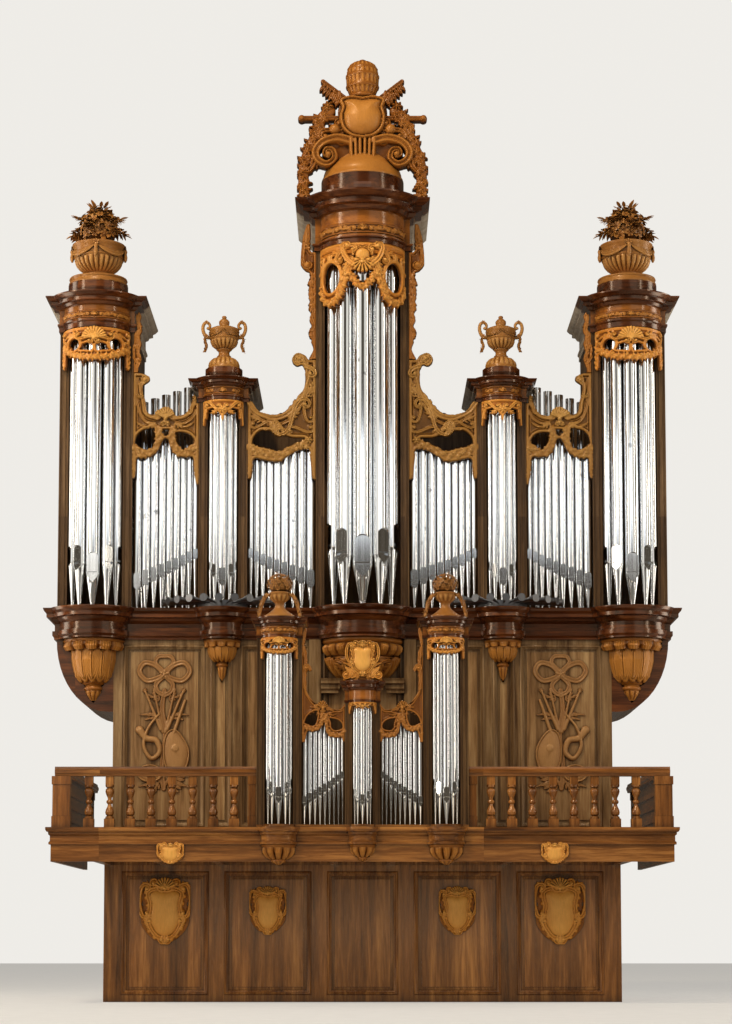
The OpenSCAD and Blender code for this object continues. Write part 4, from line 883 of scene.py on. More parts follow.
# %% Sawn boards
def sawn(node):
    """The loops of a board's front face on the organ's right, as (x, z) points: the outline, then the openings."""
    ob = frame["nodes"][node]
    turn = np.array(ob.matrix_world)
    co = np.array([v.co for v in ob.data.vertices]) @ turn[:3, :3].T + turn[:3, 3]
    front = co[:, 1] < co[:, 1].min() + 1e-4
    key = [tuple(k) for k in np.round(co[:, (0, 2)], 4)]
    pairs = set()
    for face in ob.data.polygons:
        ring = list(face.vertices)
        if front[ring].all() and co[ring, 0].mean() > 0:
            pairs |= {(key[a], key[b]) for a, b in zip(ring, ring[1:] + ring[:1])}
    onward = {a: b for a, b in pairs if (b, a) not in pairs}
    loops = []
    while onward:
        at, loop = next(iter(onward)), []
        while at in onward:
            loop.append(at)
            at = onward.pop(at)
        loops.append(np.array(loop))
    return sorted(loops, key=lambda p: -np.ptp(p[:, 0]) * np.ptp(p[:, 1]))


def sawn_board(node, step, edge, rise, height=0.004):
    """A board with the node's outline and openings, a roll along every edge and a thin line inside it."""
    loops = sawn(node)
    r = Relief(*(v for i in (0, 1) for v in (loops[0][:, i].min() - 0.06, loops[0][:, i].max() + 0.06)), step)
    r.board(loops[0], height)
    for opening in loops[1:]:
        r.hole(opening)
    r.bead(edge, edge, rise)
    r.bead(edge * 2.75, edge * 0.45, rise * 0.5)
    return r, r.gap.copy()


def leafy_edge(relief, path, n, heading, length, width, height, base=0.006):
    """Leaf tips that spring from a path, each turned by heading from the path's own direction."""
    path = np.asarray(path, float)
    for i in range(n):
        k = 1 + int((i + 0.5) / n * (len(path) - 2))
        d = path[k] - path[k - 1]
        grow = 0.75 + 0.25 * math.sin(2.1 * i)
        turn = math.degrees(math.atan2(d[1], d[0])) + heading
        leaf(relief, path[k], turn, length * grow, width, -0.5 * heading, height, base)

# %% Crests over the outer flats
CREST_BACK, CREST_THICK = CASE_Y + 0.045, 0.026


def outer_crest():
    r, sawn_gap = sawn_board("outer_flat_crests", 0.0105, 0.026, 0.036)
    left = along([(3.30, 9.30), (3.40, 9.35), (3.49, 9.40), (3.515, 9.57), (3.55, 9.71), (3.56, 9.86)], 50)
    right = along([(3.02, 9.30), (2.92, 9.32), (2.84, 9.37), (2.76, 9.45), (2.70, 9.55)], 40)
    rail(r, left, 0.040, 0.050)
    rail(r, right, 0.036, 0.046)
    rail(r, along([(3.62, 9.95), (3.63, 9.7), (3.60, 9.45), (3.50, 9.26), (3.34, 9.20)], 40), 0.026, 0.034)
    rail(r, along([(2.99, 9.20), (2.86, 9.22), (2.74, 9.30), (2.67, 9.42)], 30), 0.024, 0.032)
    leafy_edge(r, left, 8, 55, 0.10, 0.022, 0.035)
    leafy_edge(r, right[::-1], 5, 60, 0.09, 0.020, 0.032)
    scroll(r, (3.50, 9.92), (3.60, 9.70), 1.1, 0.3, 0.034, 0.055, base=0.012)
    acanthus(r, (3.52, 9.84), 120, 0.16, 0.05, -40, 0.05, 0.012, 3)
    scroll(r, (2.70, 9.60), (2.80, 9.42), -0.9, 0.4, 0.026, 0.045, base=0.012)
    for s in (-1, 1):
        scroll(r, (3.17 + s * 0.115, 9.38), (3.17 + s * 0.05, 9.22), s * 1.0, s * 0.5, 0.026, 0.050, base=0.014)
        acanthus(r, (3.17 + s * 0.05, 9.30), 90 - s * 58, 0.24, 0.06, -s * 30, 0.042, 0.012, 3)
        acanthus(r, (3.17 + s * 0.13, 9.22), -90 + s * 60, 0.22, 0.05, s * 30, 0.036, 0.010, 3)
        leaf(r, (3.17 + s * 0.30, 9.16), 90 - s * 80, 0.16, 0.024, s * 30, 0.03, 0.008)
    shell(r, (3.165, 9.29), 0.175, 0.050, 22, 158, 9, 0.016)
    r.dome((3.165, 9.235), 0.062, 0.055, 7, 0.2, 0.020)
    garland(r, along([(3.28, 9.13), (3.27, 8.93), (3.37, 8.76), (3.55, 8.71), (3.665, 8.83)], 50), 0.112, 0.050,
            seed=11)
    garland(r, along([(3.05, 9.13), (3.06, 8.93), (2.98, 8.76), (2.82, 8.73), (2.675, 8.84)], 50), 0.112, 0.050,
            seed=12)
    garland(r, along([(3.66, 8.80), (3.67, 8.6), (3.655, 8.27)], 20), 0.064, 0.036, seed=13)
    garland(r, along([(2.66, 8.80), (2.675, 8.6), (2.66, 8.34)], 20), 0.064, 0.036, seed=14)
    return carved(r, on_plane(CREST_BACK), CREST_THICK, sawn_gap).mirror()


outer_crest().piece("outer_flat_crest_carvings", M["crest_wood"], ["outer_flat_crests"])

# %% Crests over the inner flats
def inner_crest():
    r, sawn_gap = sawn_board("inner_flat_crests", 0.0110, 0.028, 0.038)
    sweep = along([(1.82, 9.55), (1.72, 9.42), (1.55, 9.33), (1.40, 9.30), (1.22, 9.36), (1.08, 9.50), (0.97, 9.70),
                   (0.90, 9.92), (0.86, 10.12)], 90)
    rail(r, sweep, 0.050, 0.058)
    rail(r, sweep + (-0.020, -0.105), 0.030, 0.038)
    leafy_edge(r, sweep, 12, -60, 0.125, 0.026, 0.040)
    scroll(r, (1.02, 10.27), (0.84, 10.02), -1.1, 0.35, 0.042, 0.060, base=0.014)
    acanthus(r, (0.92, 10.20), 20, 0.20, 0.06, 50, 0.055, 0.014, 3)
    acanthus(r, (0.88, 10.10), 75, 0.16, 0.05, -30, 0.050, 0.014, 3)
    scroll(r, (1.33, 9.12), (0.92, 9.52), -1.0, 0.8, 0.036, 0.055, base=0.012)
    scroll(r, (1.16, 9.09), (0.83, 9.14), 0.8, -0.7, 0.028, 0.042, base=0.010)
    scroll(r, (1.76, 9.20), (1.46, 9.20), -0.8, 0.8, 0.026, 0.042, base=0.010)
    scroll(r, (0.83, 9.30), (0.81, 9.72), 0.9, 0.7, 0.028, 0.044, base=0.010)
    acanthus(r, (1.42, 9.27), -100, 0.24, 0.085, -20, 0.050, 0.016)
    acanthus(r, (1.22, 9.30), 160, 0.32, 0.07, -50, 0.040, 0.014)
    acanthus(r, (0.86, 9.62), 95, 0.30, 0.055, 20, 0.040, 0.012)
    acanthus(r, (1.62, 9.26), 12, 0.22, 0.05, 30, 0.036, 0.012, 3)
    for s in (-1, 1):
        leaf(r, (1.40 + s * 0.06, 9.16), -90 + s * 50, 0.13, 0.026, s * 40, 0.04, 0.012)
    bottom = along([(1.82, 8.83), (1.70, 8.75), (1.53, 8.71), (1.33, 8.69), (1.18, 8.77), (1.03, 8.84), (0.90, 8.88)],
                   70)
    garland(r, bottom, 0.125, 0.055, seed=21)
    r.dome((0.866, 8.94), 0.072, 0.055, 6, 0, 0.022)
    garland(r, along([(1.80, 8.80), (1.795, 8.6), (1.81, 8.34)], 20), 0.064, 0.038, seed=22)
    garland(r, along([(0.80, 8.88), (0.81, 8.6), (0.79, 8.34)], 20), 0.060, 0.036, seed=23)
    return carved(r, on_plane(CREST_BACK), CREST_THICK, sawn_gap).mirror()


inner_crest().piece("inner_flat_crest_carvings", M["crest_wood"], ["inner_flat_crests"])

# %% Crests of the small organ
def positif_crest():
    r, sawn_gap = sawn_board("positif_crests", 0.0070, 0.015, 0.022)
    scroll(r, (0.84, 5.00), (0.86, 4.72), 1.2, 0.3, 0.026, 0.038, base=0.010)
    sweep = along([(0.865, 5.30), (0.85, 5.08), (0.865, 4.86), (0.845, 4.68), (0.77, 4.55), (0.66, 4.46)], 60)
    rail(r, sweep, 0.026, 0.036)
    leafy_edge(r, sweep, 10, -60, 0.070, 0.015, 0.026)
    rail(r, along([(0.27, 4.44), (0.34, 4.385), (0.45, 4.40), (0.54, 4.44)], 30), 0.024, 0.034)
    for s, x in ((-1, 0.50), (1, 0.68)):
        scroll(r, (x, 4.43), (0.59 + s * 0.03, 4.36), s * 0.9, s * 0.4, 0.016, 0.032, base=0.010)
        acanthus(r, (0.59 + s * 0.03, 4.38), 90 - s * 64, 0.15, 0.034, -s * 30, 0.028, 0.008, 3)
        acanthus(r, (0.59 + s * 0.05, 4.32), -90 + s * 70, 0.14, 0.030, s * 30, 0.024, 0.006, 3)
    shell(r, (0.59, 4.40), 0.10, 0.034, 20, 160, 7, 0.012)
    r.dome((0.59, 4.365), 0.038, 0.036, 6, 0, 0.014)
    acanthus(r, (0.30, 4.46), 80, 0.10, 0.030, -30, 0.026, 0.006, 2)
    for k in range(5):
        acanthus(r, (0.885, 5.56 - 0.075 * k), -90, 0.10, 0.026, 10 * (-1) ** k, 0.024, 0.008, 2)
    right = along([(0.60, 4.33), (0.61, 4.19), (0.66, 4.11), (0.744, 4.08), (0.854, 4.12)], 40)
    left = along([(0.555, 4.30), (0.536, 4.12), (0.50, 4.03), (0.40, 3.99), (0.304, 4.01), (0.265, 4.07)], 40)
    garland(r, right, 0.062, 0.032, seed=31)
    garland(r, left, 0.062, 0.032, seed=32)
    garland(r, [(0.885, 4.12), (0.89, 4.02), (0.88, 3.90)], 0.036, 0.022, seed=33)
    return carved(r, on_plane(GALLERY_Y + 0.050), 0.018, sawn_gap).mirror()


positif_crest().piece("positif_crest_carvings", M["carving"], ["positif_crests"])

# %% [markdown]
# Wings. A tall leafy strip climbs beside the centre tower to a volute under the cornice, and a smaller one stands by
# each outer tower. They are modelled on their sawn boards in the same way as the crests.

# %% Wings of the centre tower
WING_BACK = CASE_Y + 0.050


def centre_wing():
    r, sawn_gap = sawn_board("centre_wings", 0.0110, 0.022, 0.034)
    band = along([(0.88, 12.46), (0.93, 12.28), (0.955, 12.10), (0.965, 11.92), (0.93, 11.78), (0.87, 11.76)], 50)
    rail(r, band, 0.034, 0.050)
    scroll(r, (0.885, 11.82), (0.95, 12.20), 1.25, 0.1, 0.034, 0.060, base=0.014)
    r.dome((0.885, 11.82), 0.045, 0.085)
    acanthus(r, (0.90, 12.05), 95, 0.34, 0.05, -15, 0.045, 0.012, 4)
    for k in range(5):
        acanthus(r, (0.80, 11.70 - 0.125 * k), -78, 0.17, 0.052, -26 * (-1) ** k, 0.042, 0.010, 2)
    scroll(r, (0.855, 10.78), (0.78, 11.10), -1.0, 0.3, 0.030, 0.050, base=0.010)
    rail(r, along([(0.775, 11.06), (0.83, 10.88), (0.80, 10.68), (0.79, 10.45), (0.83, 10.28)], 40), 0.032, 0.045)
    for k in range(6):
        acanthus(r, (0.775, 10.98 - 0.115 * k), 35 - 22 * k % 50, 0.13, 0.040, -40, 0.038, 0.010, 2)
    return carved(r, on_plane(WING_BACK), 0.030, sawn_gap).mirror()


centre_wing().piece("centre_wing_carvings", M["carving"], ["centre_wings"])

# %% Wings of the outer towers
def outer_wing():
    r, sawn_gap = sawn_board("outer_wings", 0.0100, 0.018, 0.030)
    x = OUTER.x - OUTER.half
    rail(r, along([(x - 0.03, 11.0), (x - 0.09, 10.82), (x - 0.05, 10.6), (x - 0.09, 10.38), (x - 0.05, 10.12)], 50),
         0.026, 0.040)
    for k in range(8):
        acanthus(r, (x - 0.055, 10.98 - 0.115 * k), -100 - 30 * (k % 2), 0.14, 0.042, 30, 0.036, 0.010, 2)
    scroll(r, (x - 0.10, 10.24), (x - 0.03, 10.46), 0.9, 0.3, 0.026, 0.042, base=0.010)
    return carved(r, on_plane(WING_BACK), 0.026, sawn_gap).mirror()


outer_wing().piece("outer_wing_carvings", M["carving"], ["outer_wings"])

# %% [markdown]
# Friezes. A band of running leaf scrolls, carved from a thin board, wraps each tower's entablature from a shell in
# its middle. Above it a plain golden cove rises to the cornice. A bump could draw so low a relief, but its edge would
# stay smooth where the band turns away from the eye.

# %% Frieze
def frieze(tower, radius, z0, z1, step, motifs=True):
    edge = tower.bow * (tower.reach - 0.10)
    r = Relief(-edge, edge, z0, z1, step)
    h, mid = z1 - z0, (z0 + z1) / 2
    w, tall = h * 0.11, h * 0.20
    r.board([(-edge, z0), (edge, z0), (edge, z1), (-edge, z1)], 0.001)
    for z in (z0 + w, z1 - w):
        rail(r, [(-edge, z), (edge, z)], w * 0.8, tall * 0.4, 0.001)
    shell(r, (0, mid - 0.20 * h), h * 0.46, tall, 5, 175, 9, 0.003)
    n = max(2, round(edge / (h * 0.95))) if motifs else 1
    for s in (-1, 1):
        for i in range(n):
            c = s * (0.5 * h + (i + 0.35) * (edge - 0.6 * h) / n)
            up = 1 if i % 2 else -1
            eye = (c, mid + up * 0.06 * h)
            scroll(r, eye, (c + s * 0.62 * h, mid - up * 0.12 * h), s * up * 1.0, -s * up * 0.45, w * 0.9, tall,
                   base=0.002)
            heading = 90 - s * 90 + s * up * 35
            acanthus(r, (c + s * 0.2 * h, mid - up * 0.02 * h), heading, h * 0.5, w * 1.9, -s * up * 60, tall * 0.8,
                     0.002, 3)
            r.dome(eye, w * 1.5, tall, 6, i, 0.003)
    return carved(r, on_bow(tower, radius), 0.004, top=tall)

# %% Carve the friezes
FOOT = {node: low(node).z for node in FRIEZES}
frieze(CENTRE, 0.701, FOOT["centre_entablature"] + 0.15, FOOT["centre_entablature"] + 0.325, 0.0090).piece(
    "centre_frieze_carving", M["carving"])
frieze(OUTER, 0.549, FOOT["outer_entablatures"] + 0.14, FOOT["outer_entablatures"] + 0.27, 0.0075).mirror().piece(
    "outer_frieze_carvings", M["carving"])
frieze(INNER, 0.335, FOOT["inner_entablatures"] + 0.082, FOOT["inner_entablatures"] + 0.210, 0.0068,
       False).mirror().piece(
    "inner_frieze_carvings", M["carving"])
frieze(POS_OUTER, 0.2765, FOOT["positif_entablatures"] + 0.051, FOOT["positif_entablatures"] + 0.155,
       0.0056).mirror().piece(
    "positif_frieze_carvings", M["carving"])

# %% [markdown]
# Turned bodies. Bowls, urns and the cap are turned on a lathe and then carved with leaves or gadroons. A Screw
# modifier could turn the profile, but not the carving, so each radius here swells and sinks with the angle as well.
# Bowls are cut flat where they meet the case.

# %% Turned bodies
def ring_faces(rows, around):
    """Faces between rows of points that each run round once."""
    i, j = np.meshgrid(np.arange(rows - 1), np.arange(around), indexing="ij")
    k = (j + 1) % around
    return np.stack([i * around + j, i * around + k, (i + 1) * around + k, (i + 1) * around + j], 2).reshape(-1, 4)


def turned(shape, x, y, z, profile, leaves=8, ribs=0.0, around=96, cut_y=None, tone=0.55):
    """profile has (radius, height, lobe, dip): how deep the leaves stand and how far their tips hang."""
    rows = []
    for p, q in zip(profile, profile[1:]):
        p, q = (tuple(v) + (0.0,) * (4 - len(v)) for v in (p, q))
        n = 4 if (p[2] or q[2] or p[3] or q[3]) else 2
        rows += [[a + (b - a) * i / n for a, b in zip(p, q)] for i in range(n)]
    rows.append(tuple(profile[-1]) + (0.0,) * (4 - len(profile[-1])))
    R, Z, lobe, dip = (c[:, None] for c in np.array(rows).T)
    a = np.linspace(0, 2 * math.pi, around, endpoint=False)[None, :]
    wave = 2 * np.abs(np.cos(leaves * a / 2)) ** 0.6 - 1
    fine = np.cos(6 * leaves * a)
    radius = R * (1 + lobe * wave + ribs * (lobe > 0) * fine)
    up = Z - dip * (1 + wave) / 2
    px, py = x + radius * np.sin(a), y - radius * np.cos(a)
    if cut_y is not None:
        py = np.minimum(py, cut_y)
    co = np.stack([px, py, z + up + 0 * a], 2)
    n = len(R)
    quads = ring_faces(n, around)
    if profile[0][1] > profile[-1][1]:
        quads = quads[:, ::-1]
    # Painted light: raised leaf lobes get a lighter tone as a painted highlight, the dips between them painted shade.
    shade = np.clip(tone + (0.35 * wave + 0.1 * fine) * (lobe > 0), 0, 1) + 0 * R
    shape.add(co.reshape(-1, 3), [quads], shade.ravel())

# %% [markdown]
# Hanging bowls under the towers. Each is turned, then carved: a rolled lip over gadroons, a bell of upright acanthus,
# and below it a collar and a pointed drop that sits nearer the wall. The leaves are a relief laid round the bell,
# because leaves pressed out of the turned profile would all have the same soft edge.

# %% Turned bowls
def centre_bowl():
    """Lip, gadroons and bell of the centre tower's bowl, and its drop."""
    bowl = Shape()
    turned(bowl, 0, CENTRE.y, IMPOST_Z, [
        (0.655, -0.002), (0.668, -0.04), (0.652, -0.07), (0.625, -0.085), (0.632, -0.10, 0.03), (0.655, -0.14, 0.05),
        (0.640, -0.20, 0.06), (0.590, -0.265, 0.05), (0.555, -0.29), (0.575, -0.305), (0.568, -0.33),
        (0.560, -0.35, 0.04, 0.02), (0.530, -0.42, 0.09, 0.03), (0.475, -0.50, 0.10, 0.03),
        (0.405, -0.59, 0.08, 0.02), (0.33, -0.66, 0.05), (0.285, -0.70), (0.0, -0.705)], 22, 0.010, 264, CASE_Y)
    turned(bowl, 0, CASE_Y + 0.07, IMPOST_Z, [
        (0.19, -0.69), (0.20, -0.72), (0.225, -0.75), (0.225, -0.78), (0.20, -0.80), (0.175, -0.82, 0.06),
        (0.165, -0.86, 0.10), (0.12, -0.92, 0.10), (0.05, -0.97), (0.0, -0.985)], 11, 0.01, 132, CASE_Y)
    return bowl


def side_bowls():
    """The bowls of the outer and the inner tower on the organ's right."""
    sides = Shape()
    turned(sides, OUTER.x, OUTER.y, IMPOST_Z, [
        (0.495, -0.002), (0.505, -0.03), (0.485, -0.05), (0.475, -0.06, 0.03), (0.488, -0.10, 0.06, 0.03),
        (0.44, -0.15, 0.08, 0.04), (0.36, -0.165), (0.335, -0.18), (0.333, -0.22), (0.330, -0.34), (0.305, -0.46),
        (0.268, -0.60), (0.21, -0.70), (0.15, -0.745), (0.0, -0.75)],
        13, 0.014, 156, CASE_Y)
    turned(sides, OUTER.x, CASE_Y + 0.05, IMPOST_Z, [
        (0.12, -0.72), (0.13, -0.745), (0.155, -0.77), (0.155, -0.80), (0.13, -0.815), (0.125, -0.84, 0.08),
        (0.11, -0.89, 0.10), (0.06, -0.96, 0.08), (0.0, -1.01)], 9, 0.014, 108, CASE_Y)
    turned(sides, INNER.x, INNER.y, IMPOST_Z, [
        (0.298, -0.002), (0.308, -0.03), (0.295, -0.05), (0.285, -0.06, 0.04, 0.02), (0.275, -0.095, 0.07, 0.03),
        (0.235, -0.115, 0.05, 0.02), (0.215, -0.125), (0.205, -0.14), (0.203, -0.18), (0.188, -0.24), (0.160, -0.31),
        (0.11, -0.36), (0.098, -0.375), (0.0, -0.38)], 11, 0.014, 132, CASE_Y)
    turned(sides, INNER.x, CASE_Y + 0.035, IMPOST_Z, [
        (0.078, -0.36), (0.082, -0.385), (0.10, -0.40), (0.10, -0.42), (0.08, -0.435), (0.080, -0.48, 0.07),
        (0.06, -0.57, 0.08), (0.028, -0.65), (0.0, -0.69)], 8, 0.014, 80, CASE_Y)
    return sides

# %% Leaves on the bells
def on_bell(tower, depths, radii):
    """Relief on a bowl, whose radius is given at some depths under the impost. Along is the angle in radians."""

    def place(u, v, h):
        radius = np.interp(-v, depths, radii) + h
        return np.stack([tower.x + radius * np.sin(u), tower.y - radius * np.cos(u), IMPOST_Z + v], 1)

    return place


def bell_leaves(bowl, tower, depths, radii, step):
    """Upright acanthus leaves round a bell, with a plain leaf between each two."""
    z0, z1 = -depths[-1], -depths[0]
    r = Relief(-1.45, 1.45, z0, z1 + 0.02, step)
    size = z1 - z0
    for i in range(-3, 4):
        leaf(r, (0.46 * i + 0.23, z0 + 0.03), 90, size * 0.80, 0.10, 0, 0.030)
        acanthus(r, (0.46 * i, z0), 90, size * 0.96, 0.30, 0, 0.052, 0.004, 5)
    r.shape(bowl, on_bell(tower, depths, radii), 0.006)

# %% Leaves on the centre bowl
def on_bowl(u, v, h):
    """Relief on the belly of the centre bowl."""
    radius = np.interp(-v, [0.30, 0.35, 0.42, 0.50, 0.60, 0.72], [0.585, 0.575, 0.545, 0.490, 0.400, 0.290]) + h
    a = u / 0.52
    return np.stack([radius * np.sin(a), CENTRE.y - radius * np.cos(a), IMPOST_Z + v], 1)


def bowl_leaves(bowl):
    """A shell between scrolls, with leaves on both sides."""
    r = Relief(-0.84, 0.84, -0.72, -0.30, 0.0085)
    for s in (-1, 1):
        acanthus(r, (s * 0.55, -0.70), 90 - s * 8, 0.38, 0.16, -s * 20, 0.050, 0.0, 5)
        acanthus(r, (s * 0.74, -0.68), 90 - s * 4, 0.34, 0.12, 0, 0.045, 0.0, 4)
        scroll(r, (s * 0.40, -0.42), (s * 0.20, -0.60), s * 0.9, s * 0.7, 0.030, 0.050)
        acanthus(r, (s * 0.14, -0.60), 90 - s * 40, 0.26, 0.07, -s * 40, 0.045)
        acanthus(r, (s * 0.30, -0.52), 90 - s * 70, 0.20, 0.05, s * 50, 0.040, 0.0, 3)
    shell(r, (0, -0.58), 0.20, 0.055, 10, 170, 9, 0.004)
    acanthus(r, (0, -0.52), -90, 0.20, 0.07, 0, 0.050, 0.006, 3)
    r.dome((0, -0.55), 0.05, 0.07, 6)
    r.shape(bowl, on_bowl, 0.012)

# %% Carve the bowls
sides = side_bowls()
bell_leaves(sides, OUTER, [0.185, 0.34, 0.46, 0.60, 0.70], [0.333, 0.330, 0.305, 0.268, 0.21], 0.0105)
bell_leaves(sides, INNER, [0.145, 0.18, 0.24, 0.31, 0.36], [0.205, 0.203, 0.188, 0.160, 0.11], 0.0085)
bowls = centre_bowl()
bowls.take(sides.mirror())
bowl_leaves(bowls)
bowls.piece("bowl_carvings", M["carving"], ["culots"])

# %% Carve the small organ's corbels
corbels = Shape()
CORBEL_Z = high("positif_corbels").z
turned(corbels, POS_OUTER.x, POS_OUTER.y, CORBEL_Z, [
    (0.262, -0.001), (0.264, -0.03), (0.245, -0.045), (0.238, -0.06, 0.05, 0.02), (0.225, -0.11, 0.11, 0.02),
    (0.182, -0.17, 0.13, 0.02), (0.130, -0.215, 0.10, 0.01), (0.11, -0.228), (0.0, -0.23)], 11, 0.02, 132, GALLERY_Y)
turned(corbels, POS_OUTER.x, GALLERY_Y + 0.03, CORBEL_Z, [
    (0.10, -0.21), (0.115, -0.23), (0.115, -0.25), (0.09, -0.265, 0.1), (0.05, -0.295, 0.1), (0.0, -0.315)],
    9, 0.02, 72, GALLERY_Y)
corbels.mirror()
turned(corbels, 0, TURRET.y, CORBEL_Z, [
    (0.20, -0.001), (0.204, -0.025), (0.185, -0.04), (0.178, -0.05, 0.05, 0.02), (0.165, -0.09, 0.11, 0.02),
    (0.13, -0.14, 0.13, 0.02), (0.09, -0.18, 0.10, 0.01), (0.07, -0.19), (0.0, -0.195)], 9, 0.02, 108, GALLERY_Y)
turned(corbels, 0, GALLERY_Y + 0.025, CORBEL_Z, [
    (0.065, -0.18), (0.076, -0.195), (0.076, -0.208), (0.05, -0.23, 0.1), (0.0, -0.258)], 7, 0.02, 56, GALLERY_Y)
corbels.piece("positif_corbel_carvings", M["carving"], ["positif_corbels"])

# %% [markdown]
# Flowers and leaves in the round. A flower head is a disc of rings whose edge is petalled and cupped, and a leaf is a
# thin bent blade with a sunk vein. Instances of one flower would be lighter, but would look stamped, so each is made
# with its own size, petals and turn, as a carver cuts them.

# %% Flower heads
def blossom(shape, at, out, size, petals=6, turn=0.0, cup=0.5):
    """A carved flower head that faces out: cupped petals round a domed heart."""
    at, out = np.asarray(at, float), np.asarray(out, float) / np.linalg.norm(out)
    side = np.cross(out, (0.3, 0.2, 0.93))
    side /= np.linalg.norm(side)
    up = np.cross(out, side)
    n, m = petals * 6, 6
    s = np.linspace(0.0, 1.0, m)[:, None]
    a = turn + 2 * math.pi * np.arange(n)[None, :] / n
    wave = np.abs(np.cos(petals * (a - turn) / 2)) ** 0.5
    r = size * s * (0.62 + 0.38 * wave)
    lift = size * (cup * s**2 - 0.35 * s**4 + 0.42 * np.exp(-((s / 0.22) ** 2)) + 0.10 * wave * s)
    co = at + r[..., None] * (np.cos(a)[..., None] * side + np.sin(a)[..., None] * up) + lift[..., None] * out
    quads = ring_faces(m, n)[:, (0, 3, 2, 1)]
    tail = at - out * size * 0.5
    ring = (m - 1) * n + np.arange(n)
    fan = np.stack([ring, np.full(n, m * n), np.roll(ring, -1)], 1)
    # Painted light: the heart and the gaps between petals get a dark tone as painted shade, the petal tips a painted
    # highlight.
    tone = np.concatenate([(0.25 + 0.55 * s * wave + 0 * a).ravel(), [0.0]])
    shape.add(np.concatenate([co.reshape(-1, 3), [tail]]), [quads, fan], tone)

# %% Leaf blades
def blade(shape, foot, heading, length, width, droop=0.3, up=(0, 0, 1)):
    """A carved leaf with a sunk vein that springs from its foot and bends over."""
    foot, heading = np.asarray(foot, float), np.asarray(heading, float) / np.linalg.norm(heading)
    side = np.cross(heading, up)
    side = side / max(np.linalg.norm(side), 1e-6)
    lift = np.cross(side, heading)
    s = np.linspace(0, 1, 7)[:, None]
    across = np.array([-1.0, -0.45, 0.0, 0.45, 1.0])[None, :]
    half = width * np.sin(math.pi * np.clip(0.08 + 0.90 * s, 0, 1)) ** 0.8
    rise = -droop * length * s**2 + 0.16 * half * np.cos(3.0 * across) - 0.10 * half * (across == 0)
    top = foot + (length * s)[..., None] * heading + (half * across)[..., None] * side + rise[..., None] * lift
    under = top - lift * width * 0.22
    co = np.concatenate([top.reshape(-1, 3), under.reshape(-1, 3)])
    i, j = np.meshgrid(np.arange(6), np.arange(4), indexing="ij")
    a = (i * 5 + j).ravel()
    quads = np.stack([a, a + 5, a + 6, a + 1], 1)
    edge, far = np.arange(6) * 5, np.arange(6) * 5 + 4
    walls = [np.stack([edge, edge + 35, edge + 40, edge + 5], 1), np.stack([far, far + 5, far + 40, far + 35], 1)]
    # Painted light: the sunk vein gets a dark tone as painted shade, the edges a lighter one.
    tone = np.tile([0.65, 0.5, 0.15, 0.5, 0.65], 14)
    shape.add(co, [quads, quads[:, ::-1] + 35] + walls, tone)

# %% Ropes and garlands in space
def rope(shape, path, radius, sides=8, tone=0.6):
    """A round rod along a path in space."""
    path = np.asarray(path, float)
    along_it = np.gradient(path, axis=0)
    along_it /= np.linalg.norm(along_it, axis=1)[:, None]
    side = np.cross(along_it, (0.13, 0.97, 0.21))
    side /= np.linalg.norm(side, axis=1)[:, None]
    up = np.cross(along_it, side)
    n = len(path)
    r = np.broadcast_to(np.asarray(radius, float), n)
    a = 2 * math.pi * np.arange(sides) / sides
    ring = np.cos(a)[None, :, None] * side[:, None] + np.sin(a)[None, :, None] * up[:, None]
    co = path[:, None] + r[:, None, None] * ring
    quads = ring_faces(n, sides)
    ends = [np.arange(sides)[None, ::-1], (n - 1) * sides + np.arange(sides)[None, :]]
    shape.add(co.reshape(-1, 3), [quads] + ends, tone)


def space_garland(shape, path, width, out_from, seed=1):
    """A rope of flower heads in space, each facing away from the point or axis that it hangs on."""
    pick = np.random.default_rng(seed)
    path = np.asarray(path, float)
    rope(shape, path, width * 0.32)
    run = np.concatenate([[0], np.cumsum(np.linalg.norm(np.diff(path, axis=0), axis=1))])
    n = max(4, int(run[-1] / (width * 0.42)))
    for i in range(n):
        k = min(np.searchsorted(run, (i + 0.5) / n * run[-1]), len(path) - 1)
        out = path[k] - np.asarray(out_from, float)
        out = out / np.linalg.norm(out) + pick.normal(0, 0.55, 3)
        at = path[k] + out / np.linalg.norm(out) * width * 0.22
        blossom(shape, at, out, width * pick.uniform(0.30, 0.44), int(pick.integers(5, 7)), pick.uniform(0, 6))
        blade(shape, path[k], np.cross(out, (0, 1, 0)) * (-1) ** i + 0.5 * out, width * 0.8, width * 0.16)

# %% [markdown]
# Urns. The outer towers carry wide draped urns with a bouquet, the inner towers lidded ones with scrolled handles,
# and the small organ's towers little covered bowls under a mound of flowers. Cloth could be simulated for the swags,
# but a carver cuts them as a few clean folds, so they are ropes that hang side by side.

# %% Swags and tassels
def ring_swags(shape, tower, foot, radius, z, sag, count, turn, fold):
    """Folds of cloth that hang between knobs round an urn."""
    for k in range(count):
        t = np.linspace(0, 1, 22)
        a = turn + 2 * math.pi / count * (k + t)
        for row in range(4):
            out = radius + 0.016 * np.sin(math.pi * t) - 0.004 * row
            up = z - (sag - 0.024 * row) * np.sin(math.pi * t) ** 0.8
            path = np.stack([tower.x + out * np.sin(a), tower.y - out * np.cos(a), foot + up], 1)
            rope(shape, path, fold * (0.4 + 0.6 * np.sin(math.pi * t)) * (1 - 0.12 * row), 8, 0.7 - 0.12 * (row % 2))


def tassel(shape, x, y, z, length, width):
    path = [(x, y, z - length * s) for s in (0.0, 0.2, 0.4, 0.62, 0.82, 1.0)]
    rope(shape, path, width * np.array([0.5, 0.95, 0.7, 1.0, 0.85, 0.35]), 10, 0.65)

# %% Urns of the outer towers
OUTER_TOP = high("outer_entablatures").z


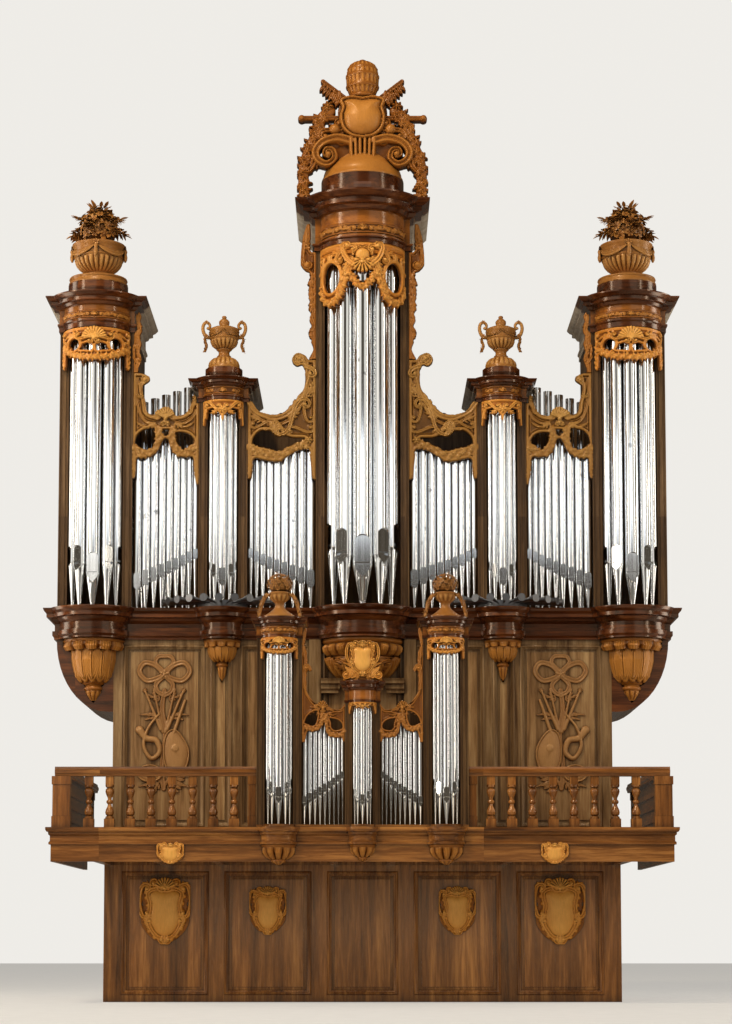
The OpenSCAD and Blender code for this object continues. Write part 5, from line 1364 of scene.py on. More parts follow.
def outer_urn():
    """A wide bowl of gadroons under a rim, draped between four tassels."""
    urn = Shape()
    turned(urn, OUTER.x, OUTER.y, OUTER_TOP, [
        (0.0, 0.0005), (0.467, 0.0005), (0.475, 0.03), (0.460, 0.045), (0.455, 0.085), (0.470, 0.10), (0.463, 0.118),
        (0.24, 0.122), (0.185, 0.13), (0.165, 0.145), (0.148, 0.17), (0.145, 0.19), (0.175, 0.205), (0.175, 0.22),
        (0.225, 0.235, 0.06), (0.29, 0.28, 0.07), (0.345, 0.345, 0.06), (0.375, 0.42, 0.04), (0.382, 0.455),
        (0.398, 0.465), (0.398, 0.485), (0.384, 0.495), (0.392, 0.57), (0.408, 0.63), (0.426, 0.655), (0.426, 0.68),
        (0.40, 0.692), (0.30, 0.688), (0.18, 0.70), (0.165, 0.74), (0.0, 0.745)], 26, 0.0, 208)
    ring_swags(urn, OUTER, OUTER_TOP, 0.405, 0.63, 0.17, 4, 0.0, 0.020)
    for k in range(4):
        c, d = math.sin(k * math.pi / 2), -math.cos(k * math.pi / 2)
        x, y = OUTER.x + 0.43 * c, OUTER.y + 0.43 * d
        tassel(urn, x, y, OUTER_TOP + 0.63, 0.22, 0.036)
        blossom(urn, (x, y, OUTER_TOP + 0.64), (c, d, 0.1), 0.050, 6)
    return urn.mirror()


outer_urn().piece("outer_urn_carvings", M["urn_wood"], ["outer_urns"], "urn_wood")

# %% [markdown]
# Bouquets. Flower heads of several sizes are packed over a ball by the golden angle, which spreads points evenly
# without rows, and leafy stems bend out between them. A particle system could scatter them, but not turn each flower
# outwards and each pair of leaves to its stem.

# %% Places round a bouquet
pick = np.random.default_rng(5)
GOLDEN_ANGLE = math.radians(137.508)


def spray_of(level, azimuth, rise):
    return np.array([level * math.cos(azimuth), level * math.sin(azimuth), rise])


def round_ball(i, count, depth):
    """The direction of flower i of count, from the top of a ball down to depth under it."""
    rise = 1 - depth * (i + 0.5) / count
    return spray_of(math.sqrt(max(0.0, 1 - rise * rise)), i * GOLDEN_ANGLE, rise)

# %% Flowers and stems of a bouquet
heart = np.array([OUTER.x, OUTER.y, OUTER_TOP + 0.92])


def flower_heads(bouquet):
    """Flower heads packed close, with a leaf by every second one."""
    for i in range(64):
        out = round_ball(i, 64, 1.45)
        reach = (0.250 + 0.06 * max(out[2], 0)) * pick.uniform(0.86, 1.14)
        at = heart + out * reach * (1.18, 1.18, 1.0)
        size, petals, turn = pick.uniform(0.050, 0.092), int(pick.integers(5, 8)), pick.uniform(0, 6)
        blossom(bouquet, at, out, size, petals, turn, pick.uniform(0.3, 0.8))
        if i % 2 == 0:
            blade(bouquet, heart + out * reach * 0.9, out + pick.normal(0, 0.35, 3), 0.15, 0.045, 0.4)


def leafy_stems(bouquet):
    """Each stem bends over and carries leaves in pairs, and every third one a flower."""
    for i in range(36):
        azimuth = math.radians(31.0 * i + 9 * math.sin(3 * i))
        rise = (0.05, 0.55, 1.5, 0.28, 3.2, 0.9)[i % 6]
        long = (0.27, 0.28, 0.28, 0.28, 0.24, 0.29)[i % 6] * pick.uniform(0.85, 1.05)
        out = spray_of(1.0, azimuth, rise)
        out /= np.linalg.norm(out)
        s = np.linspace(0, 1, 9)[:, None]
        stem = heart + out * (0.19 + long * s) - np.array([0, 0, 0.10]) * s**2.2 * (rise < 1)
        rope(bouquet, stem, np.linspace(0.012, 0.006, 9), 6, 0.4)
        side = np.cross(out, (math.sin(i), math.cos(i), 1.0))
        side /= np.linalg.norm(side)
        for k in range(2, 8):
            heading = out + (-1) ** k * side * 1.1 + (0, 0, 0.15) + pick.normal(0, 0.15, 3)
            blade(bouquet, stem[k], heading, 0.150 - 0.009 * k, 0.040 - 0.002 * k, 0.7)
        blade(bouquet, stem[-2], out, 0.12, 0.030, 0.5)
        if i % 3 == 0:
            blossom(bouquet, stem[-2], out, 0.050, 6, i, 0.6)

# %% Carve the bouquets
bouquet = Shape()
flower_heads(bouquet)
leafy_stems(bouquet)
# Painted shade: the ball under the flowers takes the darkest tone, as shade between them.
turned(bouquet, OUTER.x, OUTER.y, OUTER_TOP, [
    (0.0, 0.742), (0.16, 0.75), (0.22, 0.80), (0.26, 0.90), (0.24, 1.02), (0.16, 1.14), (0.0, 1.18)], 9, 0.0, 36,
       None, 0.05)
bouquet.mirror().piece("outer_bouquets", M["urn_wood"], ["urn_flowers"], "urn_wood")

# %% Urns of the inner towers
INNER_TOP = high("inner_entablatures").z


def inner_urn():
    """A lidded vase with scrolled handles, hung with garlands."""
    urn = Shape()
    turned(urn, INNER.x, INNER.y, INNER_TOP, [
        (0.0, 0.0005), (0.26, 0.0005), (0.265, 0.03), (0.25, 0.045), (0.25, 0.075, 0.02), (0.228, 0.125, 0.05),
        (0.185, 0.175, 0.05), (0.13, 0.20), (0.105, 0.215), (0.115, 0.225), (0.092, 0.245), (0.086, 0.29),
        (0.105, 0.315), (0.125, 0.33), (0.105, 0.345), (0.135, 0.355, 0.08), (0.185, 0.40, 0.08), (0.215, 0.46, 0.05),
        (0.222, 0.50), (0.236, 0.51), (0.236, 0.525), (0.222, 0.535), (0.223, 0.59), (0.238, 0.635), (0.245, 0.655),
        (0.235, 0.672), (0.20, 0.685, 0.04), (0.15, 0.705, 0.06), (0.095, 0.72), (0.075, 0.735), (0.085, 0.765),
        (0.085, 0.80), (0.06, 0.83), (0.032, 0.85), (0.04, 0.87), (0.03, 0.89), (0.0, 0.90)], 18, 0.0, 144)
    for s in (-1, 1):
        handle = [(0.215, 0.56), (0.26, 0.54), (0.315, 0.585), (0.345, 0.68), (0.325, 0.765), (0.27, 0.785),
                  (0.232, 0.74), (0.245, 0.685), (0.28, 0.70)]
        path = along(handle, 56)
        at = np.stack([INNER.x + s * path[:, 0], np.full(len(path), INNER.y), INNER_TOP + path[:, 1]], 1)
        rope(urn, at, np.linspace(0.032, 0.020, len(path)), 10, 0.75)
        for z, size in ((0.56, 0.036), (0.785, 0.034)):
            blossom(urn, (INNER.x + s * 0.285, INNER.y - 0.03, INNER_TOP + z), (s * 0.3, -1, 0), size, 6)
        drop = np.array([(INNER.x + s * (0.295 + 0.015 * math.sin(i)), INNER.y - 0.01, INNER_TOP + 0.54 - 0.03 * i)
                         for i in range(9)])
        space_garland(urn, drop, 0.066, (INNER.x, INNER.y + 0.3, INNER_TOP + 0.4), 3)
    for k in range(4):
        t = np.linspace(0, 1, 18)
        a = math.radians(90) * (k + t)
        z = INNER_TOP + 0.62 - 0.075 * np.sin(math.pi * t)
        path = np.stack([INNER.x + 0.228 * np.sin(a), INNER.y - 0.228 * np.cos(a), z], 1)
        space_garland(urn, path, 0.046, (INNER.x, INNER.y, INNER_TOP + 0.5), k)
    return urn.mirror()


inner_urn().piece("inner_urn_carvings", M["urn_wood"], ["inner_urns"], "urn_wood")

# %% Finials of the small organ
POS_TOP = high("positif_entablatures").z


def positif_urn():
    """A covered bowl under a mound of flowers, with a garland down each side."""
    urn = Shape()
    turned(urn, POS_OUTER.x, POS_OUTER.y, POS_TOP, [
        (0.0, 0.0005), (0.245, 0.0005), (0.248, 0.02), (0.235, 0.032), (0.20, 0.055), (0.15, 0.09), (0.10, 0.13),
        (0.075, 0.16), (0.066, 0.20), (0.075, 0.235), (0.10, 0.25), (0.105, 0.262, 0.05), (0.135, 0.29, 0.07),
        (0.152, 0.33, 0.04), (0.155, 0.365), (0.165, 0.375), (0.160, 0.39), (0.12, 0.40), (0.10, 0.41), (0.14, 0.43),
        (0.165, 0.50), (0.13, 0.59), (0.0, 0.64)], 12, 0.0, 96)
    crown = np.array([POS_OUTER.x, POS_OUTER.y, POS_TOP + 0.515])
    for i in range(60):
        out = round_ball(i, 60, 1.5)
        at = crown + out * np.array([0.185, 0.185, 0.150])
        blossom(urn, at, out, pick.uniform(0.026, 0.044), int(pick.integers(5, 7)), pick.uniform(0, 6))
        if i % 3 == 0:
            blade(urn, crown + out * 0.13, out, 0.075, 0.020)
    for s in (-1, 1):
        path = along([(0.14, 0.36), (0.20, 0.33), (0.25, 0.24), (0.285, 0.13), (0.30, 0.05), (0.31, -0.02)], 34)
        at = np.stack([POS_OUTER.x + s * path[:, 0], np.full(len(path), POS_OUTER.y - 0.06), POS_TOP + path[:, 1]], 1)
        at[:, 1] -= 0.03 * (path[:, 1] < 0.06)
        space_garland(urn, at, 0.082, (POS_OUTER.x, POS_OUTER.y + 0.1, POS_TOP + 0.2), 12)
    return urn.mirror()


positif_urn().piece("positif_urn_carvings", M["urn_wood"], ["positif_urns"], "urn_wood")

# %% [markdown]
# Cartouches: a blank cushioned shield in a frame of scrolls with a shell above, carved from one board. They stand on
# the base, the gallery front and the small organ's middle turret. One drawing serves them all at its own size, and
# every field is bare.

# %% Cartouche
def cartouche(relief, x, z, w, h, rise, base=0.004):
    """A blank shield of half width w and height h: a wavy ruffled frame, scrolls at its shoulders and foot."""
    foot = z - 0.5 * h
    right = along([(x, foot + 0.06 * h), (x + 0.36 * w, foot + 0.12 * h), (x + 0.66 * w, foot + 0.32 * h),
                   (x + 0.60 * w, z + 0.06 * h), (x + 0.68 * w, z + 0.24 * h), (x + 0.38 * w, z + 0.31 * h),
                   (x, z + 0.28 * h)], 48)
    field = np.concatenate([right, (right * (-1, 1) + (2 * x, 0))[::-1]])
    middle = np.array([x, z])
    relief.board((field - middle) * (1.66, 1.20) + middle, base)
    relief.swell(field, rise * 0.85, 0.45 * w, base + 0.25 * rise)
    ring = np.concatenate([field, field[:1]])
    relief.stroke((ring - middle) * (1.14, 1.09) + middle, 0.11 * w, rise * 0.95, "hollow", base)
    outer = (ring - middle) * (1.30, 1.17) + middle
    for k in range(0, len(outer) - 1, 4):
        relief.dome(outer[k], 0.10 * w, rise * 0.6, base=base)
    for s in (-1, 1):
        scroll(relief, (x + s * 0.84 * w, z + 0.34 * h), (x + s * 0.82 * w, z - 0.06 * h), -s * 0.9, -s * 0.4,
               0.12 * w, rise, base=base)
        scroll(relief, (x + s * 0.70 * w, z - 0.18 * h), (x + s * 0.14 * w, foot + 0.02 * h), s * 0.8, s * 0.6,
               0.12 * w, rise, base=base)
        scroll(relief, (x + s * 0.52 * w, z + 0.42 * h), (x + s * 0.12 * w, z + 0.36 * h), s * 0.6, -s * 0.8,
               0.11 * w, rise, base=base)
        acanthus(relief, (x + s * 0.78 * w, z - 0.06 * h), -90 + s * 18, 0.24 * h, 0.15 * w, -s * 40, rise * 0.8,
                 base, 3)
        acanthus(relief, (x + s * 0.66 * w, z + 0.36 * h), 90 - s * 40, 0.15 * h, 0.14 * w, -s * 40, rise * 0.8, base,
                 2)
    shell(relief, (x, z + 0.34 * h), 0.16 * h, rise * 1.1, 12, 168, 9, base + 0.1 * rise)
    acanthus(relief, (x, foot + 0.08 * h), -90, 0.10 * h, 0.12 * w, 0, rise, base, 2)


def cartouche_piece(into, x, z, w, h, rise, y, thick, step):
    r = Relief(x - w * 1.15, x + w * 1.15, z - h * 0.56, z + h * 0.58, step)
    cartouche(r, x, z, w, h, rise)
    r.shape(into, on_plane(y), thick)

# %% Cartouches of the base and gallery
BASE_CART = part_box("base_cartouches")
CARTOUCHE_Z = (BASE_CART[0].z + BASE_CART[1].z) / 2
boards = Shape()
cartouche_piece(boards, BASE_CART[1].x - 0.36, CARTOUCHE_Z, 0.34, 0.96, 0.060, BASE_Y + 0.02, 0.016, 0.0090)
cartouche_piece(boards, 1.465, CARTOUCHE_Z, 0.25, 0.70, 0.048, BASE_Y + 0.02, 0.014, 0.0080)
boards.mirror().piece("base_cartouche_carvings", M["gilt_wood"], ["base_cartouches"])

boards = Shape()
cartouche_piece(boards, 2.85, 2.2375, 0.175, 0.29, 0.034, GALLERY_Y, 0.014, 0.0060)
boards.mirror().piece("gallery_cartouche_carvings", M["gilt_wood"], ["gallery_cartouches"])

# %% Cartouche of the small organ
TURRET_TOP = high("positif_turret_top").z


def turret_cartouche():
    """A cartouche that stands on a leafy foot."""
    r = Relief(-0.34, 0.34, TURRET_TOP, TURRET_TOP + 0.64, 0.0070)
    r.board(along([(-0.30, TURRET_TOP), (-0.24, TURRET_TOP + 0.14), (-0.17, TURRET_TOP + 0.24), (0, TURRET_TOP + 0.3),
                   (0.17, TURRET_TOP + 0.24), (0.24, TURRET_TOP + 0.14), (0.30, TURRET_TOP)], 50), 0.010)
    for s in (-1, 1):
        scroll(r, (s * 0.24, TURRET_TOP + 0.09), (s * 0.06, TURRET_TOP + 0.20), -s * 1.0, s * 0.5, 0.026, 0.045,
               base=0.010)
        acanthus(r, (s * 0.04, TURRET_TOP + 0.03), 90 - s * 68, 0.27, 0.06, s * 40, 0.040, 0.012, 4)
        acanthus(r, (s * 0.10, TURRET_TOP + 0.13), 90 - s * 30, 0.22, 0.05, -s * 50, 0.040, 0.012, 3)
    cartouche(r, 0.0, TURRET_TOP + 0.345, 0.205, 0.50, 0.060, 0.016)
    return carved(r, on_plane(GALLERY_Y - 0.02), 0.050)


turret_cartouche().piece("positif_cartouche_carving", M["gilt_wood"], ["positif_cartouche"])

# %% [markdown]
# The crest over the centre tower: a moulded pedestal, a pair of volutes either side of a fluted block, a blank shield
# with crossed staves behind it, flower garlands down both sides and a banded domed cap on top. From the floor it is
# seen flat on, so the middle is one thick relief, while pedestal and cap are turned in the round.

# %% Scrolls, staves and garlands of the crest
CREST_Z = low("crest_cap").z - 1.33
PEDESTAL_Z = high("centre_entablature").z


def crest_side(r, s):
    """Everything on one side of the shield, s being -1 for the left and 1 for the right."""
    z = CREST_Z
    volute = along([(s * 0.20, z + 0.60), (s * 0.42, z + 0.64), (s * 0.64, z + 0.57), (s * 0.755, z + 0.42),
                    (s * 0.71, z + 0.27), (s * 0.57, z + 0.21), (s * 0.455, z + 0.30), (s * 0.48, z + 0.43),
                    (s * 0.58, z + 0.45), (s * 0.61, z + 0.37), (s * 0.55, z + 0.33)], 80)
    r.stroke(volute, np.linspace(0.082, 0.040, len(volute)), 0.13, "hollow", 0.03)
    r.dome((s * 0.55, z + 0.36), 0.055, 0.14, 0, 0, 0.03)
    tail = along([(s * 0.76, z + 0.36), (s * 0.80, z + 0.20), (s * 0.88, z + 0.10), (s * 0.97, z + 0.10)], 30)
    r.stroke(tail, np.linspace(0.060, 0.025, len(tail)), 0.08, "hollow", 0.02)
    scroll(r, (s * 0.38, z + 0.88), (s * 0.60, z + 0.68), s * 1.0, -s * 0.6, 0.046, 0.085, base=0.020)
    scroll(r, (s * 0.34, z + 0.62), (s * 0.10, z + 0.80), -s * 0.8, s * 0.6, 0.036, 0.070, base=0.020)
    acanthus(r, (s * 0.60, z + 0.60), 90 - s * 60, 0.26, 0.09, s * 40, 0.075, 0.015, 4)
    acanthus(r, (s * 0.66, z + 0.36), -90 + s * 30, 0.30, 0.08, s * 30, 0.060, 0.012, 4)
    acanthus(r, (s * 0.30, z + 0.70), 90 - s * 30, 0.28, 0.07, -s * 50, 0.060, 0.015, 4)
    for k in range(3):
        x = s * (0.040 + 0.075 * k)
        r.stroke([(x * 0.92, z + 0.30), (x, z + 0.61)], 0.034, 0.085, base=0.060)
    hang = along([(s * 0.52, z + 1.10), (s * 0.64, z + 1.02), (s * 0.72, z + 0.82), (s * 0.82, z + 0.56),
                  (s * 0.92, z + 0.30), (s * 0.955, z + 0.04), (s * 0.945, PEDESTAL_Z - 0.33)], 70)
    garland(r, hang, 0.170, 0.095, 0.012, 41)
    rail(r, [(s * 0.10, z + 1.18), (s * 0.64, z + 1.60)], 0.038, 0.060)
    for k in range(6):
        t = 0.50 + 0.085 * k
        leaf(r, (s * (0.10 + 0.54 * t), z + 1.17 + 0.42 * t), -90 + s * (14 + 4 * k), 0.20 - 0.014 * k, 0.036, s * 10,
             0.060)
    rail(r, [(s * 0.30, z + 0.98), (s * 0.99, z + 0.98)], 0.046, 0.080)
    r.dome((s * 0.985, z + 0.98), 0.060, 0.095)
    r.dome((s * 0.56, z + 1.18), 0.100, 0.110, 7, 0.0, 0.012)
    r.dome((s * 0.45, z + 0.79), 0.095, 0.120, 0, 0.0, 0.020)
    acanthus(r, (s * 0.36, z + 1.22), 90 - s * 40, 0.24, 0.08, s * 40, 0.060, 0.012, 3)

# %% Shield of the crest
def crest_relief():
    """The fluted block and the blank shield, between the two sides."""
    r = Relief(-1.06, 1.06, PEDESTAL_Z - 0.365, CREST_Z + 1.74, 0.0110)
    body = along([(0.10, 1.38), (0.32, 1.30), (0.40, 1.10), (0.38, 0.86), (0.44, 0.70), (0.62, 0.56), (0.62, 0.34),
                  (0.40, 0.22)], 60) + (0, CREST_Z)
    r.board(np.concatenate([body * (-1, 1), body[::-1]]), 0.012)
    for s in (-1, 1):
        crest_side(r, s)
    shield = along([(0, 0.66), (0.17, 0.70), (0.29, 0.82), (0.325, 1.00), (0.29, 1.14), (0.32, 1.25), (0.18, 1.30),
                    (0, 1.28)], 56)
    shield = np.concatenate([shield, (shield * (-1, 1))[::-1]]) + (0, CREST_Z)
    ring = np.concatenate([shield, shield[:1]])
    heart_z = np.array([0, CREST_Z + 1.0])
    r.swell(shield, 0.17, 0.30, 0.05)
    r.stroke((ring - heart_z) * (1.05, 1.04) + heart_z, 0.030, 0.10, "round", 0.05)
    return r

# %% Carve the crest
crest = Shape()
turned(crest, 0, CENTRE.y, PEDESTAL_Z, [
    (0.0, 0.0), (0.655, 0.0), (0.665, 0.025), (0.655, 0.05), (0.640, 0.06), (0.632, 0.12), (0.615, 0.17),
    (0.575, 0.23), (0.51, 0.30), (0.43, 0.37), (0.37, 0.43), (0.35, 0.46), (0.0, 0.46)], 8, 0.0, 96, None, 0.8)
crest_relief().shape(crest, on_plane(CENTRE.y - 0.21), 0.10)
turned(crest, 0, CENTRE.y - 0.25, CREST_Z, [
    (0.0, 1.24), (0.12, 1.25), (0.14, 1.32), (0.205, 1.335), (0.222, 1.35), (0.215, 1.375), (0.205, 1.39),
    (0.222, 1.42, 0.02), (0.243, 1.48, 0.02), (0.266, 1.50), (0.272, 1.525), (0.262, 1.545), (0.258, 1.60, 0.02),
    (0.262, 1.66, 0.02), (0.274, 1.68), (0.274, 1.705), (0.258, 1.72), (0.250, 1.78, 0.02), (0.244, 1.80),
    (0.25, 1.82), (0.236, 1.84), (0.205, 1.885, 0.03), (0.15, 1.925, 0.03), (0.075, 1.95), (0.05, 1.955),
    (0.058, 1.97), (0.04, 1.982), (0.0, 1.985)], 20, 0.0, 160)
crest.piece("crest_carving", M["carving"], ["crest_scrolls", "crest_shield", "crest_cap"])

# %% [markdown]
# Panel mouldings. A bolection moulding, mitred at its corners, covers the joint between each raised panel and its
# frame: it stands proud of the frame and rolls down to the panel. A bevelled curve would round the corners, so the
# profile is set at the four corners and joined by straight lengths.

# %% Mitred frame
def mitred_frame(shape, x0, z0, x1, z1, y, profile, tone=0.5):
    """profile has (inwards, forwards) points from the frame to the panel."""
    corners = [(x0, z0, 1, 1), (x1, z0, -1, 1), (x1, z1, -1, -1), (x0, z1, 1, -1)]
    co = np.array([[(cx + i * sx, y - f, cz + i * sz) for i, f in profile] for cx, cz, sx, sz in corners])
    n = len(profile)
    quads = [(c * n + k, (c + 1) % 4 * n + k, (c + 1) % 4 * n + k + 1,
              c * n + k + 1) for c in range(4) for k in range(n - 1)]
    shape.add(co.reshape(-1, 3), [np.array(quads)], tone)

# %% Mouldings
BOLECTION = [(-0.030, 0.0), (-0.030, 0.006), (-0.022, 0.014), (-0.008, 0.018), (0.004, 0.014), (0.010, 0.004),
             (0.018, -0.004), (0.030, -0.008), (0.036, -0.018), (0.044, -0.020), (0.044, -0.030)]


def mouldings(name, node, finish, slot, y, halves):
    """Frames round the panels of a node, the first one in the middle and the others on both sides."""
    made = Shape()
    z0, z1 = low(node).z, high(node).z
    for x0, x1 in halves:
        mitred_frame(made, x0, z0, x1, z1, y, BOLECTION)
    made.mirror()
    middle = low(node).x + high(node).x
    mitred_frame(made, middle - MIDDLE[node], z0, middle + MIDDLE[node], z1, y, BOLECTION)
    made.piece(name, M[finish], slot=slot, crease=30)


# Half the width of each row's middle panel
MIDDLE = {"lower_panels": 0.60, "base_panels": 0.52}
EDGE = {node: high(node).x for node in MIDDLE}
mouldings("lower_panel_mouldings", "lower_panels", "panel_wood", "panel_wood", low("lower_panels").y - 0.03,
          ((0.87, 1.91), (2.10, 2.39), (2.53, EDGE["lower_panels"])))
mouldings("base_panel_mouldings", "base_panels", "base_wood", "gallery_wood", BASE_Y,
          ((0.82, 2.11), (EDGE["base_panels"] - 1.29, EDGE["base_panels"])))

# %% [markdown]
# Joist ends. Boards stand on the base between the joists of the gallery and close the space under its floor. One
# board behind the joists does it, since the joists stand in front of it.

# %% Joist boards
boards = Shape()
joists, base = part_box("gallery_joists"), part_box("base_frame")
x, y0, y1 = base[1].x - 0.05, base[0].y + 0.012, base[0].y + 0.040
z0, z1 = base[1].z - 0.002, joists[1].z
corner = [(sx * x, y, z) for sx in (-1, 1) for y in (y0, y1) for z in (z0, z1)]
boards.add(corner, [np.array([(0, 4, 5, 1), (2, 3, 7, 6), (1, 5, 7, 3), (0, 2, 6, 4), (0, 1, 3, 2), (4, 6, 7, 5)])],
           0.5)
boards.piece("joist_boards", M["base_wood"], slot="gallery_wood", crease=30)

# %% [markdown]
# Trophies on the outer lower panels: a ribbon tied in a bow, from which pipes, a horn, a lute and a drum hang, carved
# in low relief and golden against the grey-brown panel. They are one relief each, like the crests.

# %% Trophy
def trophy():
    c = (2.53 + high("lower_panels").x) / 2
    r = Relief(c - 0.46, c + 0.46, 3.28, 5.48, 0.0090)
    for s in (-1, 1):
        bow = [(0, 5.16), (0.14, 5.30), (0.32, 5.34), (0.40, 5.20), (0.28, 5.06), (0.10, 5.10), (0, 5.16)]
        r.stroke(along([(c + s * x, z) for x, z in bow], 44), 0.046, 0.034, "hollow", 0.004)
        r.stroke(along([(c, 5.14), (c + s * 0.13, 5.00), (c + s * 0.10, 4.88), (c, 4.82)], 24), 0.040, 0.030,
                 "hollow", 0.004)
        r.stroke(along([(c, 5.20), (c + s * 0.14, 5.34), (c + s * 0.10, 5.44), (c, 5.45)], 24), 0.036, 0.030,
                 "hollow", 0.006)
        r.stroke([(c + s * 0.05, 4.28), (c + s * 0.30, 4.88)], [0.034, 0.020], 0.034, base=0.006)
        r.stroke([(c + s * 0.02, 4.24), (c + s * 0.17, 4.92)], [0.028, 0.018], 0.028, base=0.004)
        r.dome((c + s * 0.31, 4.90), 0.046, 0.036, 6, 0, 0.006)
    r.dome((c, 5.16), 0.095, 0.045, 5, 0.4, 0.010)
    r.stroke(along([(c, 4.90), (c + 0.03, 4.6), (c - 0.02, 4.2), (c + 0.03, 3.7), (c, 3.34)], 40), 0.042, 0.026,
             "hollow", 0.002)
    lute = along([(c - 0.12, 3.52), (c - 0.34, 3.66), (c - 0.39, 3.95), (c - 0.24, 4.22), (c - 0.10, 4.26),
                  (c - 0.01, 4.10), (c - 0.01, 3.78), (c - 0.12, 3.52)], 44)
    r.swell(lute, 0.045, 0.14, 0.006)
    r.stroke(lute, 0.016, 0.042, base=0.006)
    r.dome((c - 0.18, 3.98), 0.060, 0.016, 0, 0, 0.050)
    r.stroke([(c - 0.14, 4.18), (c - 0.33, 4.74)], [0.036, 0.026], 0.040, base=0.006)
    horn = along([(c + 0.08, 4.52), (c + 0.25, 4.30), (c + 0.32, 4.02), (c + 0.20, 3.82), (c + 0.07, 3.92),
                  (c + 0.12, 4.10), (c + 0.28, 4.14), (c + 0.38, 4.26)], 60)
    r.stroke(horn, np.linspace(0.020, 0.062, len(horn)), 0.046, base=0.006)
    r.dome((c + 0.39, 4.27), 0.070, 0.036, 0, 0, 0.008)
    drum = arc(c + 0.22, 3.58, 0.19, 0.13)
    r.swell(drum, 0.036, 0.07, 0.006)
    r.stroke(drum, 0.016, 0.042, base=0.010)
    for s in (-1, 1):
        for k in range(3):
            acanthus(r, (c + s * 0.05, 3.56 - 0.03 * k), -90 + s * (78 - 25 * k), 0.34, 0.07, s * 25, 0.030, 0.002, 4)
        acanthus(r, (c + s * 0.06, 4.46), 90 - s * 62, 0.30, 0.06, -s * 40, 0.030, 0.002, 4)
        acanthus(r, (c + s * 0.05, 4.76), 90 - s * 82, 0.24, 0.05, s * 30, 0.028, 0.002, 3)
    return carved(r, on_plane(low("lower_panels").y), 0.004).mirror()


trophy().piece("trophy_carvings", M["trophy_wood"])

# %% [markdown]
# Camera. It stands far off on the organ's middle line, near the floor, as in the photograph. A level camera with the
# lens shifted up would show the uprights as they were taken. Here part of that shift is a slight tilt, so that other
# views, which keep the shift, still have the organ in the middle.

# %% Camera
LENS_MM, SENSOR_MM = 84.58, 36.0
SHIFT_X, SHIFT_Y = 0.0034, 0.19
CAMERA_AWAY, EYE_HEIGHT, TILT = 37.74, 0.96, 5.53

camera_data = bpy.data.cameras.new("camera")
camera_data.sensor_width, camera_data.lens = SENSOR_MM, LENS_MM
camera_data.shift_x, camera_data.shift_y = SHIFT_X, SHIFT_Y
camera = bpy.data.objects.new("camera", camera_data)
camera.location = (0.0, -CAMERA_AWAY, EYE_HEIGHT)
camera.rotation_euler = (math.radians(90 + TILT), 0, 0)
bpy.context.scene.collection.objects.link(camera)
bpy.context.scene.camera = camera
print("camera", tuple(round(v, 2) for v in camera.location))

# %% [markdown]
# Light. Bright metal shows only what it mirrors, so soft light from everywhere would leave the pipes flat. Tall cards
# of light stand apart in a dark room, and each pipe shows bright streaks between dark edges. Two broad cards fill,
# two narrow ones draw the streaks, one each side lights the returns, and a warm key gives the shadows.

# %% Light cards
DAYLIGHT, WARM, LAMP = (1.0, 0.95, 0.86), (1.0, 0.92, 0.80), (1.0, 0.84, 0.62)


def card(name, azimuth, away, z, width, height, shine, colour=WARM, aim_z=8.0):
    """A card at an azimuth from the organ's front. shine is its brightness as the pipes mirror it."""
    a = math.radians(azimuth)
    at = Vector((away * math.sin(a), -away * math.cos(a), z))
    data = bpy.data.lights.new(name, "AREA")
    data.shape, data.size, data.size_y, data.color = "RECTANGLE", width, height, colour
    data.energy = shine * math.pi * width * height
    ob = bpy.data.objects.new(name, data)
    bpy.context.scene.collection.objects.link(ob)
    ob.location = at
    ob.rotation_euler = (Vector((0, 0, aim_z)) - at).to_track_quat("-Z", "Y").to_euler()


card("broad_left", azimuth=-34, away=20, z=12, width=14.0, height=17.0, shine=0.85, colour=DAYLIGHT)
card("broad_right", azimuth=33, away=20, z=12, width=10.0, height=17.0, shine=0.75, colour=DAYLIGHT)
card("narrow_left", azimuth=-62, away=19, z=12, width=2.0, height=16.0, shine=11.0, colour=(1.0, 0.90, 0.76))
card("narrow_right", azimuth=58, away=20, z=12, width=1.2, height=16.0, shine=10.0, colour=(1.0, 0.90, 0.76))
card("side_left", azimuth=-96, away=12, z=8, width=3.0, height=14.0, shine=4.0)
card("side_right", azimuth=96, away=12, z=8, width=3.0, height=14.0, shine=4.0)
card("high_band", azimuth=0, away=21, z=12.2, width=17.0, height=2.6, shine=1.5, colour=(0.93, 0.97, 1.0), aim_z=7.0)
card("key", azimuth=-28, away=17, z=27, width=3.0, height=3.0, shine=115.0, colour=LAMP)
card("low_band", azimuth=0, away=17, z=1.4, width=12.0, height=1.6, shine=1.8, colour=(1.0, 0.82, 0.60), aim_z=3.0)
print("lights:", len(bpy.data.lights))

# %% [markdown]
# Backdrop and floor. The pale backdrop is seen only by the camera. The pipes mirror a dim warm room, and other
# surfaces get a little light from all round. The floor is a plain pale slab: it is lifted for the camera alone, so
# that it doesn't throw light up under the organ, and keeps the organ's shadow.

# %% Backdrop
BACKDROP = rgb(0.86, 0.84, 0.80)

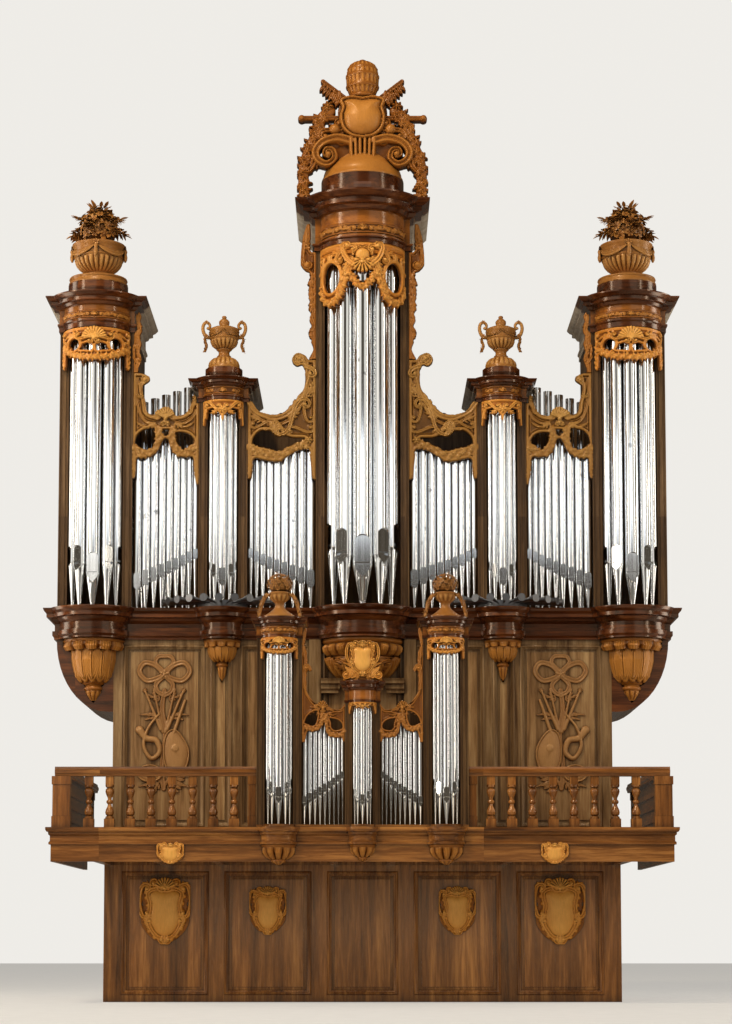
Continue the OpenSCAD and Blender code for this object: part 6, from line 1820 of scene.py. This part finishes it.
world = bpy.data.worlds.new("studio")
bpy.context.scene.world = world
world.use_nodes = True
tree = world.node_tree
tree.nodes.clear()
ray = put(tree, "LightPath").outputs
seen = put(tree, "Background", Color=BACKDROP, Strength=1.0).outputs[0]
lit = put(tree, "Background", Color=rgb(0.95, 0.88, 0.78), Strength=0.24).outputs[0]
mirrored = put(tree, "Background", Color=rgb(0.62, 0.50, 0.36), Strength=0.12).outputs[0]
room = put(tree, "MixShader", i0=ray["Is Glossy Ray"], i1=lit, i2=mirrored).outputs[0]
both = put(tree, "MixShader", i0=ray["Is Camera Ray"], i1=room, i2=seen).outputs[0]
tree.links.new(both, tree.nodes.new("ShaderNodeOutputWorld").inputs[0])
print("backdrop colour", BACKDROP[:3])

# %% Floor
FLOOR_HALF = 60

floor_mesh = bpy.data.meshes.new("floor")
corners = [(x * FLOOR_HALF, y * FLOOR_HALF, -0.001) for x, y in ((-1, -1), (1, -1), (1, 1), (-1, 1))]
floor_mesh.from_pydata(corners, [], [(0, 1, 2, 3)])
floor_material, tree, shader = new_material("pale_floor")
speckle = put(tree, "TexNoise", Vector=put(tree, "TexCoord").outputs["Object"], Scale=3.0, Detail=6.0).outputs[0]
stone = ramp(tree, speckle, (0.3, rgb(0.38, 0.37, 0.35)), (0.7, rgb(0.43, 0.42, 0.40)))
tree.links.new(stone, shader.inputs["Base Color"])
shader.inputs["Roughness"].default_value = 0.55
shader.inputs["Emission Color"].default_value = BACKDROP
lift = math_node(tree, "MULTIPLY", put(tree, "LightPath").outputs["Is Camera Ray"], 0.46)
tree.links.new(lift, shader.inputs["Emission Strength"])
floor_mesh.materials.append(floor_material)
floor = bpy.data.objects.new("floor", floor_mesh)
bpy.context.scene.collection.objects.link(floor)
floor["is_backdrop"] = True
bpy.context.scene.view_settings.view_transform = "Standard"
print("floor", 2 * FLOOR_HALF, "m square")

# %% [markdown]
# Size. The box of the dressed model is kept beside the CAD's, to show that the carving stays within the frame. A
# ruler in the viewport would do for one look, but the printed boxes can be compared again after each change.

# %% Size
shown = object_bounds()
for name, box in (("CAD", CAD_BOX), ("visual", shown)):
    print(name, "box", [tuple(round(v, 3) for v in c) for c in box])
